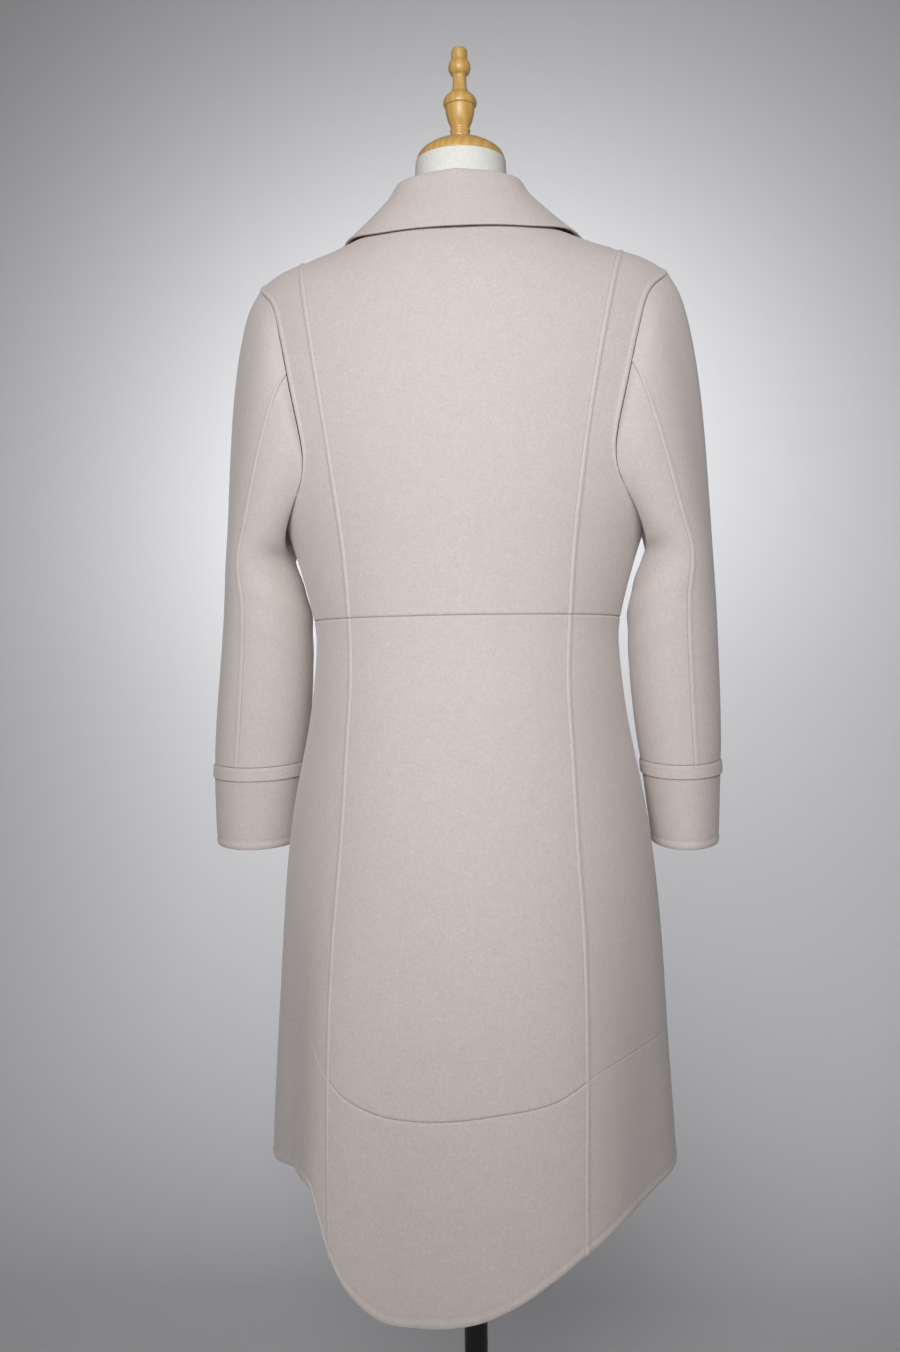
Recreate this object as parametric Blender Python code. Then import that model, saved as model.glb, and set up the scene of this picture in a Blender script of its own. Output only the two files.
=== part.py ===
"""Long A-line cashmere coat with a turn-down collar, resting on a limbless dress form.

Metres, +Z up. The coat's back faces -Y and its left sleeve lies at -X. The origin is the
centre of the stand's underside. Every cloth piece is a wall laid on one body surface, which
is read by angle (0 at the centre back, 90 at the right side, 180 at the centre front) and height.
"""

import math
from typing import Callable, NamedTuple

import bmesh
import bpy
from mathutils import Vector


class Section(NamedTuple):
    """One level of a body: half width, and depth from the axis to the back and to the front."""

    height: float
    half_width: float
    back: float
    front: float


class Flute(NamedTuple):
    """One soft fold of the skirt: where it stands, how wide and how deep at the hem."""

    angle: float
    spread: float
    depth: float


class SleeveRing(NamedTuple):
    """One level of a sleeve: its inner and outer side, half depth and how far forward it hangs."""

    height: float
    inner: float
    outer: float
    half_depth: float
    forward: float


class CollarRow(NamedTuple):
    """One cut through the collar: height of its stand, how far that leans in, and height of its free edge."""

    angle: float
    stand: float
    lean: float
    edge_height: float


class Turned(NamedTuple):
    """One ring of a turned piece."""

    height: float
    radius: float


# Cloth and seams
WALL = 0.0025
SEAM_GAP = 0.0005
WELT_THICK = 0.0012
WELT_CLEAR = 0.0005
SLOPE_ANGLE, SLOPE_HEIGHT = 0.4, 0.0008
RADIUS_LIMIT = 0.4
HALVINGS = 40

# The coat's body, from below the hem to the shoulders
BODY = (
    Section(0.200, 0.236, 0.224, 0.204),
    Section(0.375, 0.227, 0.210, 0.190),
    Section(0.540, 0.218, 0.197, 0.178),
    Section(0.634, 0.212, 0.187, 0.170),
    Section(0.724, 0.204, 0.175, 0.162),
    Section(0.787, 0.195, 0.165, 0.155),
    Section(0.875, 0.178, 0.149, 0.143),
    Section(0.950, 0.170, 0.134, 0.133),
    Section(0.983, 0.172, 0.130, 0.133),
    Section(1.050, 0.190, 0.128, 0.140),
    Section(1.105, 0.209, 0.130, 0.142),
    Section(1.160, 0.226, 0.131, 0.142),
    Section(1.220, 0.236, 0.131, 0.141),
    Section(1.360, 0.245, 0.131, 0.140),
    Section(1.470, 0.250, 0.131, 0.140),
)
YOKE_HEIGHT = 1.160
YOKE_ROUND = 2.6
SHOULDER_LINE = ((0.0, 1.440), (0.040, 1.437), (0.072, 1.427), (0.135, 1.401), (0.175, 1.388),
                 (0.200, 1.380), (0.222, 1.368), (0.250, 1.345))
SHOULDER_TIP_HEIGHT = 1.368
NECK_SIDE_HEIGHT = 1.427
PRINCESS_TOP_HEIGHT = 1.388

# Soft folds of the skirt, largest left of the centre back
FLUTES = (
    Flute(-40.0, 15.0, 0.016),
    Flute(-62.0, 13.0, -0.014),
    Flute(34.0, 18.0, 0.007),
    Flute(64.0, 15.0, -0.008),
    Flute(140.0, 20.0, 0.009),
    Flute(-135.0, 20.0, 0.009),
)
FLUTE_TOP = 0.800
FLUTE_FULL = 0.330

# Seam lines: height against distance from the centre back, or angle against height
PRINCESS_SEAM = ((0.200, 0.123), (0.360, 0.125), (0.520, 0.127), (0.653, 0.126), (0.736, 0.121),
                 (0.840, 0.116), (0.915, 0.113), (0.983, 0.1155), (1.063, 0.121), (1.155, 0.133),
                 (1.260, 0.150), (1.340, 0.165), (1.388, 0.1755))
ARMHOLE = ((90.0, 1.105), (76.0, 1.107), (68.0, 1.118), (63.5, 1.140), (62.3, 1.170),
           (65.0, 1.225), (70.3, 1.290), (77.0, 1.335), (90.0, SHOULDER_TIP_HEIGHT))
NECKLINE = ((0.0, 1.415), (45.0, 1.419), (90.0, NECK_SIDE_HEIGHT), (135.0, 1.392), (180.0, 1.350))
WAIST_HEIGHT = 0.983
ARMPIT_HEIGHT = ARMHOLE[0][1]
HEM = ((-180.0, 0.375), (-110.0, 0.384), (-75.0, 0.390), (-55.0, 0.402), (-42.0, 0.402), (-38.0, 0.376),
       (-34.5, 0.345), (-29.5, 0.314), (-20.5, 0.289), (-9.5, 0.2865), (0.0, 0.289), (8.0, 0.296),
       (17.0, 0.311), (25.5, 0.330), (35.0, 0.350), (53.0, 0.372), (86.0, 0.384), (130.0, 0.380),
       (180.0, 0.375))
BAND = ((-180.0, 0.535), (-110.0, 0.545), (-73.0, 0.550), (-47.5, 0.546), (-38.0, 0.515), (-32.0, 0.498),
        (-22.0, 0.485), (-11.0, 0.482), (0.0, 0.484), (9.5, 0.488), (27.5, 0.498), (43.0, 0.521),
        (60.0, 0.530), (86.0, 0.534), (130.0, 0.535), (180.0, 0.535))
ANGLE_PER_METRE = 400.0
PRINCESS_LEAST_ANGLE, PRINCESS_GUESS_ANGLE = 5.0, 40.0
LAP_ANGLE, LAP_MARGIN, LAP_RAMP, LAP_LIFT = 12.0, 9.0, 10.0, 0.0048

# Sleeves and cuffs
SLEEVE = (
    SleeveRing(1.050, 0.1970, 0.275, 0.068, 0.005),
    SleeveRing(1.000, 0.1820, 0.278, 0.066, 0.010),
    SleeveRing(0.950, 0.1810, 0.280, 0.064, 0.016),
    SleeveRing(0.890, 0.1850, 0.282, 0.061, 0.023),
    SleeveRing(0.825, 0.1930, 0.283, 0.058, 0.031),
    SleeveRing(0.780, 0.1990, 0.282, 0.056, 0.038),
    SleeveRing(0.730, 0.2050, 0.281, 0.054, 0.045),
)
SLEEVE_BLEND = (0.08, 0.22, 0.4, 0.6, 0.8)
SLEEVE_GAP = 0.0008
SLEEVE_PUFF = 0.0155
SLEEVE_PUFF_RISE = 0.6
SLEEVE_RELIEF = 0.004
SLEEVE_FACING = (0.5, 0.9, 0.45)
SLEEVE_END = 0.8250
SLEEVE_SPREAD = {-1: 0.020, 1: 0.0}
SPREAD_TOP, SPREAD_END = 1.050, 0.735
SLEEVE_DIP, DIP_TOP = 0.006, 0.960
CUFF_LEVELS = (0.8246, 0.800, 0.765, 0.730)
SLEEVE_SEAM_ANGLE = 75
AROUND_STEP = 15
CUFF_WELT_TOP, CUFF_WELT_HEIGHT = 0.8225, 0.013
CUFF_WELT_PROUD = 0.0026

# Collar
COLLAR = (
    CollarRow(0.0, 0.050, 0.006, 1.395),
    CollarRow(45.0, 0.044, 0.010, 1.396),
    CollarRow(90.0, 0.031, 0.005, 1.401),
    CollarRow(125.0, 0.022, 0.006, 1.362),
    CollarRow(158.0, 0.020, 0.006, 1.318),
)
COLLAR_ROLL = 0.0045
COLLAR_RISE = 0.0022
COLLAR_FALL_LIFT, COLLAR_EDGE_LIFT = 0.0085, 0.0040
COLLAR_ROLL_BENDS = (135, 90, 45)
COLLAR_STEPS = 28
COLLAR_FALL_STEPS = 5
COLLAR_FALL_STRAIGHT = 0.85

# Dress form
FORM_SECTIONS = (
    Section(0.660, 0.150, 0.112, 0.104),
    Section(0.675, 0.163, 0.124, 0.115),
    Section(0.750, 0.172, 0.130, 0.120),
    Section(0.850, 0.158, 0.118, 0.114),
    Section(0.950, 0.136, 0.104, 0.108),
    Section(1.050, 0.146, 0.108, 0.122),
    Section(1.140, 0.168, 0.114, 0.126),
)
FORM_SHOULDER_LEVELS = (1.200, 1.260, 1.310, 1.345, 1.365, 1.380, 1.392, 1.402, 1.411, 1.419)
FORM_INSET_LOW, FORM_INSET_SHOULDER, FORM_INSET_HEIGHT = 0.013, 0.0094, 1.345
FORM_ARM_PLATE = 0.184
FORM_NECK = (Turned(1.432, 0.0580), Turned(1.447, 0.0545), Turned(1.478, 0.0520), Turned(1.4985, 0.0508))
FORM_AROUND = 32
NECK_CAP = (Turned(1.4988, 0.0485), Turned(1.4995, 0.0498), Turned(1.5040, 0.0490), Turned(1.5090, 0.0458),
            Turned(1.5140, 0.0395), Turned(1.5190, 0.0305), Turned(1.5230, 0.0205), Turned(1.5255, 0.0110))
FINIAL = (Turned(1.5258, 0.0112), Turned(1.5290, 0.0114), Turned(1.5300, 0.0104), Turned(1.5318, 0.0104),
          Turned(1.5326, 0.0113), Turned(1.5352, 0.0113), Turned(1.5362, 0.0102), Turned(1.5376, 0.0106),
          Turned(1.5450, 0.0137), Turned(1.5530, 0.0158), Turned(1.5600, 0.0166), Turned(1.5612, 0.0166),
          Turned(1.5618, 0.0180), Turned(1.5632, 0.0187), Turned(1.5660, 0.0189), Turned(1.5690, 0.0183),
          Turned(1.5730, 0.0158), Turned(1.5765, 0.0118), Turned(1.5785, 0.0098), Turned(1.5810, 0.0090),
          Turned(1.5850, 0.0079), Turned(1.5950, 0.0077), Turned(1.5968, 0.0085), Turned(1.5990, 0.0108),
          Turned(1.6030, 0.0124), Turned(1.6064, 0.0126), Turned(1.6100, 0.0119), Turned(1.6135, 0.0098),
          Turned(1.6147, 0.0090), Turned(1.6235, 0.0090), Turned(1.6262, 0.0080), Turned(1.6276, 0.0055),
          Turned(1.6280, 0.0020))
TURNED_AROUND = 24
POLE_RADIUS = 0.013
BASE = (Turned(0.0, 0.176), Turned(0.002, 0.178), Turned(0.009, 0.178), Turned(0.011, 0.176),
        Turned(0.012, 0.030), Turned(0.030, 0.022))
BASE_AROUND = 48
TOUCH_GAP = 0.0003

# Rows and columns of each wall
SIDE_ROWS, ARMHOLE_ROWS, SHOULDER_ROWS = 5, 12, 3
SKIRT_ROWS, HEM_ROWS = 7, 4
CENTRE_COLUMNS, SIDE_COLUMNS, FRONT_COLUMNS = 16, 6, 9

SIDES = (("left", -1), ("right", 1))

Place = tuple[float, float]
Curve = Callable[[float], Place]
Grid = list[list[Vector]]


def smooth(table: tuple, at: float, column: int = 1) -> float:
    """Reads a column of a table at any value of its first column, on a smooth curve through the rows."""
    last = len(table) - 1
    low = 0
    while low < last - 1 and table[low + 1][0] < at:
        low += 1
    span = table[low + 1][0] - table[low][0]
    part = (at - table[low][0]) / span

    def slope(row: int) -> float:
        before, after = max(row - 1, 0), min(row + 1, last)
        return (table[after][column] - table[before][column]) / (table[after][0] - table[before][0])

    start, end = table[low][column], table[low + 1][column]
    if part < 0.0 or part > 1.0:
        return start + (end - start) * part
    cube, square = part**3, part**2
    bend = (cube - 2 * square + part) * slope(low) + (cube - square) * slope(low + 1)
    return start * (2 * cube - 3 * square + 1) + end * (3 * square - 2 * cube) + span * bend


def ease(value: float) -> float:
    """A soft step from 0 to 1."""
    held = min(max(value, 0.0), 1.0)
    return held * held * (3 - 2 * held)


def bell(angle: float, centre: float, spread: float) -> float:
    """A bell curve of the angle between two directions."""
    apart = (angle - centre + 180.0) % 360.0 - 180.0
    return math.exp(-((apart / spread) ** 2))


def body_radius(angle: float, height: float) -> float:
    """Distance from the axis to the coat's outer face, found by halving a bracket."""
    turn = math.radians(angle)
    across, along = abs(math.sin(turn)), -math.cos(turn)
    half_width = smooth(BODY, height, 1)
    depth = smooth(BODY, height, 2 if along < 0 else 3)

    def outside(radius: float) -> bool:
        x, y = radius * across, abs(radius * along)
        if x >= half_width:
            return True
        rise = max(height - YOKE_HEIGHT, 0.0) / max(smooth(SHOULDER_LINE, x) - YOKE_HEIGHT, 1e-6)
        reach = depth * math.sqrt(1 - (x / half_width) ** 2)
        return (y / reach) ** YOKE_ROUND + rise**YOKE_ROUND > 1.0

    low, high = 0.0, RADIUS_LIMIT
    for _ in range(HALVINGS):
        middle = (low + high) / 2
        low, high = (low, middle) if outside(middle) else (middle, high)
    flare = ease((FLUTE_TOP - height) / (FLUTE_TOP - FLUTE_FULL))
    waves = sum(flute.depth * bell(angle, flute.angle, flute.spread) for flute in FLUTES)
    return low + flare * waves


def body_point(angle: float, height: float) -> Vector:
    """The coat's outer face at an angle and a height."""
    radius, turn = body_radius(angle, height), math.radians(angle)
    return Vector((radius * math.sin(turn), -radius * math.cos(turn), height))


def body_normal(angle: float, height: float) -> Vector:
    """The direction that points straight out of the cloth."""
    along = body_point(angle + SLOPE_ANGLE, height) - body_point(angle - SLOPE_ANGLE, height)
    up = body_point(angle, height + SLOPE_HEIGHT) - body_point(angle, height - SLOPE_HEIGHT)
    return along.cross(up).normalized()


def lifted(angle: float, height: float, lift: float) -> Vector:
    """A point of the body surface, moved out of the cloth."""
    return body_point(angle, height) + body_normal(angle, height) * lift


def princess_angle(height: float) -> float:
    """Angle of the right princess seam at a height."""
    if height >= PRINCESS_TOP_HEIGHT - 1e-6:
        return 90.0
    target = smooth(PRINCESS_SEAM, height)
    low, high = PRINCESS_LEAST_ANGLE, 90.0
    for _ in range(HALVINGS):
        middle = (low + high) / 2
        far = body_radius(middle, height) * math.sin(math.radians(middle)) > target
        low, high = (low, middle) if far else (middle, high)
    return low


def hem_height(angle: float) -> float:
    """Height of the hem, which dips left of the centre back."""
    return smooth(HEM, (angle + 180.0) % 360.0 - 180.0)


def band_height(angle: float) -> float:
    """Height of the seam above the hem band."""
    return smooth(BAND, (angle + 180.0) % 360.0 - 180.0)


def along_table(table: tuple, part: float) -> Place:
    """A place at an even share of the way along an angle and height table."""
    steps = [math.hypot((b[0] - a[0]) / ANGLE_PER_METRE, b[1] - a[1]) for a, b in zip(table, table[1:])]
    marks = [sum(steps[:count]) for count in range(len(table))]
    measured = tuple((mark, row[0], row[1]) for mark, row in zip(marks, table))
    at = part * marks[-1]
    return smooth(measured, at, 1), smooth(measured, at, 2)


def armhole_place(part: float) -> Place:
    """Angle and height on the back half of the armhole, from the armpit (0) to the shoulder tip (1)."""
    return along_table(ARMHOLE, part)


def level_curve(start: float, end: float, height: Callable[[float], float]) -> Curve:
    """A curve from one angle to another at the height that each angle has."""

    def curve(part: float) -> Place:
        angle = start + (end - start) * part
        return angle, height(angle)

    return curve


def side_edge(row: float) -> Place:
    """The side seam up to the armpit, the back edge of the armhole, then the shoulder seam to the neck."""
    if row <= SIDE_ROWS:
        return 90.0, WAIST_HEIGHT + (ARMPIT_HEIGHT - WAIST_HEIGHT) * row / SIDE_ROWS
    if row <= SIDE_ROWS + ARMHOLE_ROWS:
        return armhole_place((row - SIDE_ROWS) / ARMHOLE_ROWS)
    return shoulder_place(SHOULDER_TIP_HEIGHT, (row - SIDE_ROWS - ARMHOLE_ROWS) / SHOULDER_ROWS)


def shoulder_place(outer_height: float, part: float) -> Place:
    """A place on the shoulder seam, from its outer end to the neck."""
    return 90.0, outer_height + (NECK_SIDE_HEIGHT - outer_height) * part


def neck_curve(start: float, end: float) -> Curve:
    """The neckline between two angles."""
    return level_curve(start, end, lambda angle: smooth(NECKLINE, min(abs(angle), 360.0 - abs(angle))))


def patch(bottom: Curve, top: Curve, left: Curve, right: Curve, across: int, up: int) -> list[list[Place]]:
    """Fills four edge curves with a grid of angles and heights."""
    corners = [bottom(0.0), bottom(1.0), top(0.0), top(1.0)]
    rows = []
    for row in range(up + 1):
        v = row / up
        line = []
        for column in range(across + 1):
            u = column / across
            place = []
            for axis in (0, 1):
                ruled = (1 - v) * bottom(u)[axis] + v * top(u)[axis]
                sided = (1 - u) * left(v)[axis] + u * right(v)[axis]
                flat = (1 - v) * ((1 - u) * corners[0][axis] + u * corners[1][axis])
                flat += v * ((1 - u) * corners[2][axis] + u * corners[3][axis])
                place.append(ruled + sided - flat)
            line.append((place[0], place[1]))
        rows.append(line)
    return rows


def trimmed(grid: Grid) -> Grid:
    """Draws the four edges in by half a seam gap."""
    last_row, last_column = len(grid) - 1, len(grid[0]) - 1

    def drawn(row: int, column: int) -> Vector:
        point = grid[row][column].copy()
        for edge, ahead in ((row == 0, (1, 0)), (row == last_row, (-1, 0)), (column == 0, (0, 1)),
                            (column == last_column, (0, -1))):
            if edge:
                inward = grid[row + ahead[0]][column + ahead[1]] - grid[row][column]
                point += inward.normalized() * SEAM_GAP / 2
        return point

    return [[drawn(row, column) for column in range(last_column + 1)] for row in range(last_row + 1)]


def new_material(name: str, colour: tuple[float, float, float], roughness: float) -> bpy.types.Material:
    """A plain Principled finish."""
    material = bpy.data.materials.new(name)
    material.use_nodes = True
    shader = material.node_tree.nodes["Principled BSDF"]
    shader.inputs["Base Color"].default_value = (*colour, 1.0)
    shader.inputs["Roughness"].default_value = roughness
    material.diffuse_color = (*colour, 1.0)
    return material


def add_object(name: str, shape: bmesh.types.BMesh, material: bpy.types.Material) -> bpy.types.Object:
    """Closes a shape into a named object with its faces pointing out."""
    bmesh.ops.recalc_face_normals(shape, faces=shape.faces)
    mesh = bpy.data.meshes.new(name)
    shape.to_mesh(mesh)
    shape.free()
    mesh.shade_smooth()
    mesh.materials.append(material)
    piece = bpy.data.objects.new(name, mesh)
    bpy.context.scene.collection.objects.link(piece)
    return piece


def wall_between(name: str, outer: Grid, inner: Grid, material: bpy.types.Material) -> bpy.types.Object:
    """A closed wall between two grids of the same size. A ring's rows end where they begin."""
    shape = bmesh.new()
    ring = (outer[0][0] - outer[0][-1]).length < 1e-7
    columns = len(outer[0]) - 1 if ring else len(outer[0])
    layers = [[[shape.verts.new(point) for point in row[:columns]] for row in grid] for grid in (outer, inner)]
    last_row = len(outer) - 1
    spans = columns if ring else columns - 1
    for row in range(last_row):
        for column in range(spans):
            ahead = (column + 1) % columns
            for layer in layers:
                shape.faces.new((layer[row][column], layer[row][ahead], layer[row + 1][ahead],
                                 layer[row + 1][column]))
    for row in (0, last_row):
        for column in range(spans):
            ahead = (column + 1) % columns
            shape.faces.new((layers[0][row][column], layers[0][row][ahead], layers[1][row][ahead],
                             layers[1][row][column]))
    if not ring:
        for column in (0, columns - 1):
            for row in range(last_row):
                shape.faces.new((layers[0][row][column], layers[0][row + 1][column],
                                 layers[1][row + 1][column], layers[1][row][column]))
    return add_object(name, shape, material)


def flat(angle: float) -> float:
    """No lift: the panel lies on the body surface."""
    return 0.0


def add_panel(name: str, places: list[list[Place]], side: int, material: bpy.types.Material,
              lift: Callable[[float], float] = flat) -> None:
    """A body panel: its grid of places on the body surface, mirrored to a side, and its wall."""
    outer = [[lifted(side * angle, height, lift(angle)) for angle, height in row] for row in places]
    inner = [[lifted(side * angle, height, lift(angle) - WALL) for angle, height in row] for row in places]
    wall_between(name, trimmed(outer), trimmed(inner), material)


def lap_lift(angle: float) -> float:
    """How far the right front stands out to lie over the left one."""
    return LAP_LIFT * ease((angle - (180.0 - LAP_ANGLE - LAP_MARGIN - LAP_RAMP)) / LAP_RAMP)


def princess_curve(bottom: float, top: float, side: int = 1) -> Curve:
    """The princess seam between two heights."""

    def curve(part: float) -> Place:
        height = bottom + (top - bottom) * part
        return side * princess_angle(height), height

    return curve


def seam_crossing(height: Callable[[float], float]) -> Place:
    """Where the princess seam crosses a curve that runs round the body."""
    place = (PRINCESS_GUESS_ANGLE, height(PRINCESS_GUESS_ANGLE))
    for _ in range(12):
        angle = princess_angle(place[1])
        place = (angle, height(angle))
    return place


def make_bodice(cloth: bpy.types.Material) -> None:
    """The five panels above the waist seam."""
    seam_rows = SIDE_ROWS + ARMHOLE_ROWS
    all_rows = seam_rows + SHOULDER_ROWS
    seam_start = princess_angle(WAIST_HEIGHT)
    princess = princess_curve(WAIST_HEIGHT, PRINCESS_TOP_HEIGHT)

    def waist(angle: float) -> float:
        return WAIST_HEIGHT

    def centre_edge(part: float, side: int) -> Place:
        row = part * all_rows
        if row <= seam_rows:
            angle, height = princess(row / seam_rows)
        else:
            angle, height = shoulder_place(PRINCESS_TOP_HEIGHT, (row - seam_rows) / SHOULDER_ROWS)
        return side * angle, height

    centre = patch(level_curve(-seam_start, seam_start, waist), neck_curve(-90.0, 90.0),
                   lambda part: centre_edge(part, -1), lambda part: centre_edge(part, 1), CENTRE_COLUMNS, all_rows)
    add_panel("back_centre_bodice", centre, 1, cloth)

    def side_top(part: float) -> Place:
        return 90.0, PRINCESS_TOP_HEIGHT + (SHOULDER_TIP_HEIGHT - PRINCESS_TOP_HEIGHT) * part

    side_places = patch(level_curve(seam_start, 90.0, waist), side_top, princess,
                        lambda part: side_edge(part * seam_rows), SIDE_COLUMNS, seam_rows)

    def front_side(part: float) -> Place:
        angle, height = side_edge(part * all_rows)
        return 180.0 - angle, height

    last_angle = 180.0 + LAP_ANGLE
    front_neck = smooth(NECKLINE, 180.0 - LAP_ANGLE)

    def front_edge(part: float) -> Place:
        return last_angle, WAIST_HEIGHT + (front_neck - WAIST_HEIGHT) * part

    front_places = patch(level_curve(90.0, last_angle, waist), neck_curve(90.0, last_angle),
                         front_side, front_edge, FRONT_COLUMNS, all_rows)
    for label, side in SIDES:
        add_panel(f"back_side_bodice_{label}", side_places, side, cloth)
        add_panel(f"front_bodice_{label}", front_places, side, cloth, lap_lift if side > 0 else flat)


def make_skirt(cloth: bpy.types.Material) -> None:
    """The skirt panels from the waist seam to the hem band, and the bands down to the hem."""
    last_angle = 180.0 + LAP_ANGLE
    levels = (
        ("skirt", band_height, lambda angle: WAIST_HEIGHT, SKIRT_ROWS),
        ("hem", hem_height, band_height, HEM_ROWS),
    )
    for kind, bottom, top, rows in levels:
        ends = {}
        for label, side in SIDES:

            def low(angle: float, turn: int = side, level: Callable[[float], float] = bottom) -> float:
                return level(turn * angle)

            def high(angle: float, turn: int = side, level: Callable[[float], float] = top) -> float:
                return level(turn * angle)

            def upright(angle: float) -> Curve:
                return lambda part: (angle, low(angle) + (high(angle) - low(angle)) * part)

            (low_angle, low_height), (high_angle, high_height) = seam_crossing(low), seam_crossing(high)
            ends[side] = (side * low_angle, side * high_angle, princess_curve(low_height, high_height, side))
            side_places = patch(level_curve(low_angle, 90.0, low), level_curve(high_angle, 90.0, high),
                                princess_curve(low_height, high_height), upright(90.0), SIDE_COLUMNS, rows)
            front_places = patch(level_curve(90.0, last_angle, low), level_curve(90.0, last_angle, high),
                                 upright(90.0), upright(last_angle), FRONT_COLUMNS, rows)
            add_panel(f"back_side_{kind}_{label}", side_places, side, cloth)
            add_panel(f"front_{kind}_{label}", front_places, side, cloth, lap_lift if side > 0 else flat)
        (left_low, left_high, left_seam), (right_low, right_high, right_seam) = ends[-1], ends[1]
        centre = patch(level_curve(left_low, right_low, bottom), level_curve(left_high, right_high, top),
                       left_seam, right_seam, CENTRE_COLUMNS, rows)
        add_panel(f"back_centre_{kind}", centre, 1, cloth)


def armhole_ring(side: int) -> list[tuple[Vector, Vector, Vector]]:
    """Points round an armhole from the shoulder tip by the back, with the way out of the cloth
    and the way off the panel's edge."""
    places = []
    for turn in range(0, 360, AROUND_STEP):
        angle, height = armhole_place(abs(1 - turn / 180.0))
        places.append((angle if turn <= 180 else 180.0 - angle, height))
    points = [body_point(side * angle, height) for angle, height in places]
    middle = sum(points, Vector()) / len(points)
    ring = []
    for index, (angle, height) in enumerate(places):
        normal = body_normal(side * angle, height)
        along = points[(index + 1) % len(points)] - points[index - 1]
        off = along.cross(normal).normalized()
        if off.dot(middle - points[index]) < 0:
            off.negate()
        ring.append((points[index], normal, off))
    return ring


def sleeve_oval(ring: SleeveRing, turn: float, side: int) -> Vector:
    """A point on a level cut of the sleeve. Turn 0 is its outer side, 90 its back."""
    spread = SLEEVE_SPREAD[side] * ease((SPREAD_TOP - ring.height) / (SPREAD_TOP - SPREAD_END))
    dip = SLEEVE_DIP * ease((DIP_TOP - ring.height) / (DIP_TOP - SLEEVE_END))
    middle, half_width = (ring.inner + ring.outer + spread) / 2, (ring.outer + spread - ring.inner) / 2
    x = middle + half_width * math.cos(math.radians(turn))
    y = ring.forward - ring.half_depth * math.sin(math.radians(turn))
    return Vector((side * x, y, ring.height - dip * math.sin(math.radians(turn))))


def sleeve_at(height: float) -> SleeveRing:
    """The sleeve's sizes at any level."""
    levels = tuple(reversed(SLEEVE))
    return SleeveRing(height, *(smooth(levels, height, column) for column in range(1, 5)))


def sleeve_rows(side: int) -> Grid:
    """Rings of a sleeve from the armhole to its end, each closed on itself."""
    start = armhole_ring(side)
    turns = range(0, 360, AROUND_STEP)
    first = [point + (normal + off) * SLEEVE_GAP for point, normal, off in start]
    rows = [first]
    for blend in SLEEVE_BLEND:
        row = []
        for index, turn in enumerate(turns):
            goal = sleeve_oval(SLEEVE[0], turn, side)
            across, behind = math.cos(math.radians(turn)), math.sin(math.radians(turn))
            outward = Vector((side * across, -behind, 0.0))
            least, outer_share, depth_share = SLEEVE_FACING
            facing = ease(least + outer_share * across + depth_share * abs(behind))
            push = outward * facing * SLEEVE_PUFF * math.sin(math.pi * blend**SLEEVE_PUFF_RISE)
            push.x += side * (1 - facing) * SLEEVE_RELIEF * math.sin(math.pi * blend)
            row.append(first[index].lerp(goal, blend) + push)
        rows.append(row)
    rows += [[sleeve_oval(ring, turn, side) for turn in turns] for ring in SLEEVE if ring.height >= SLEEVE_END]
    return [row + [row[0].copy()] for row in rows]


def moved_along_normals(rows: Grid, distance: float, centre_line: list[Vector]) -> Grid:
    """Moves a ring grid along its own normals, away from its centre line."""
    count = len(rows[0]) - 1
    last = len(rows) - 1
    moved = []
    for index, row in enumerate(rows):
        line = []
        for column in range(count):
            along = row[(column + 1) % count] - row[(column - 1) % count]
            down = rows[min(index + 1, last)][column] - rows[max(index - 1, 0)][column]
            normal = along.cross(down).normalized()
            if normal.dot(row[column] - centre_line[index]) < 0:
                normal.negate()
            line.append(row[column] + normal * distance)
        moved.append(line + [line[0].copy()])
    return moved


def make_sleeves(cloth: bpy.types.Material) -> None:
    """Upper and under sleeve, the tuck band and the cuff of each arm."""
    seam = SLEEVE_SEAM_ANGLE // AROUND_STEP
    around = 360 // AROUND_STEP
    for label, side in SIDES:
        rows = sleeve_rows(side)
        centres = [sum(row[:-1], Vector()) / around for row in rows]
        inner = moved_along_normals(rows, -WALL, centres)
        for kind, first, last in (("upper", -seam, seam), ("under", seam, around - seam)):
            columns = [column % around for column in range(first, last + 1)]
            pair = [trimmed([[row[column] for column in columns] for row in grid]) for grid in (rows, inner)]
            wall_between(f"{kind}_sleeve_{label}", pair[0], pair[1], cloth)

        def tube(name: str, levels: tuple[Turned, ...], thick: float) -> None:
            grid = []
            for level in levels:
                ring = sleeve_at(level.height)
                wide = ring._replace(inner=ring.inner - level.radius, outer=ring.outer + level.radius,
                                     half_depth=ring.half_depth + level.radius)
                line = [sleeve_oval(wide, turn, side) for turn in range(0, 360, AROUND_STEP)]
                grid.append(line + [line[0].copy()])
            middles = [sum(line[:-1], Vector()) / around for line in grid]
            wall_between(name, grid, moved_along_normals(grid, -thick, middles), cloth)

        tube(f"cuff_{label}", tuple(Turned(height, 0.0) for height in CUFF_LEVELS), WALL)
        welt_out = WELT_CLEAR + WELT_THICK
        tube(f"cuff_welt_{label}", (Turned(CUFF_WELT_TOP, welt_out),
                                    Turned(CUFF_WELT_TOP - CUFF_WELT_HEIGHT, CUFF_WELT_PROUD)), WELT_THICK)


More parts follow.
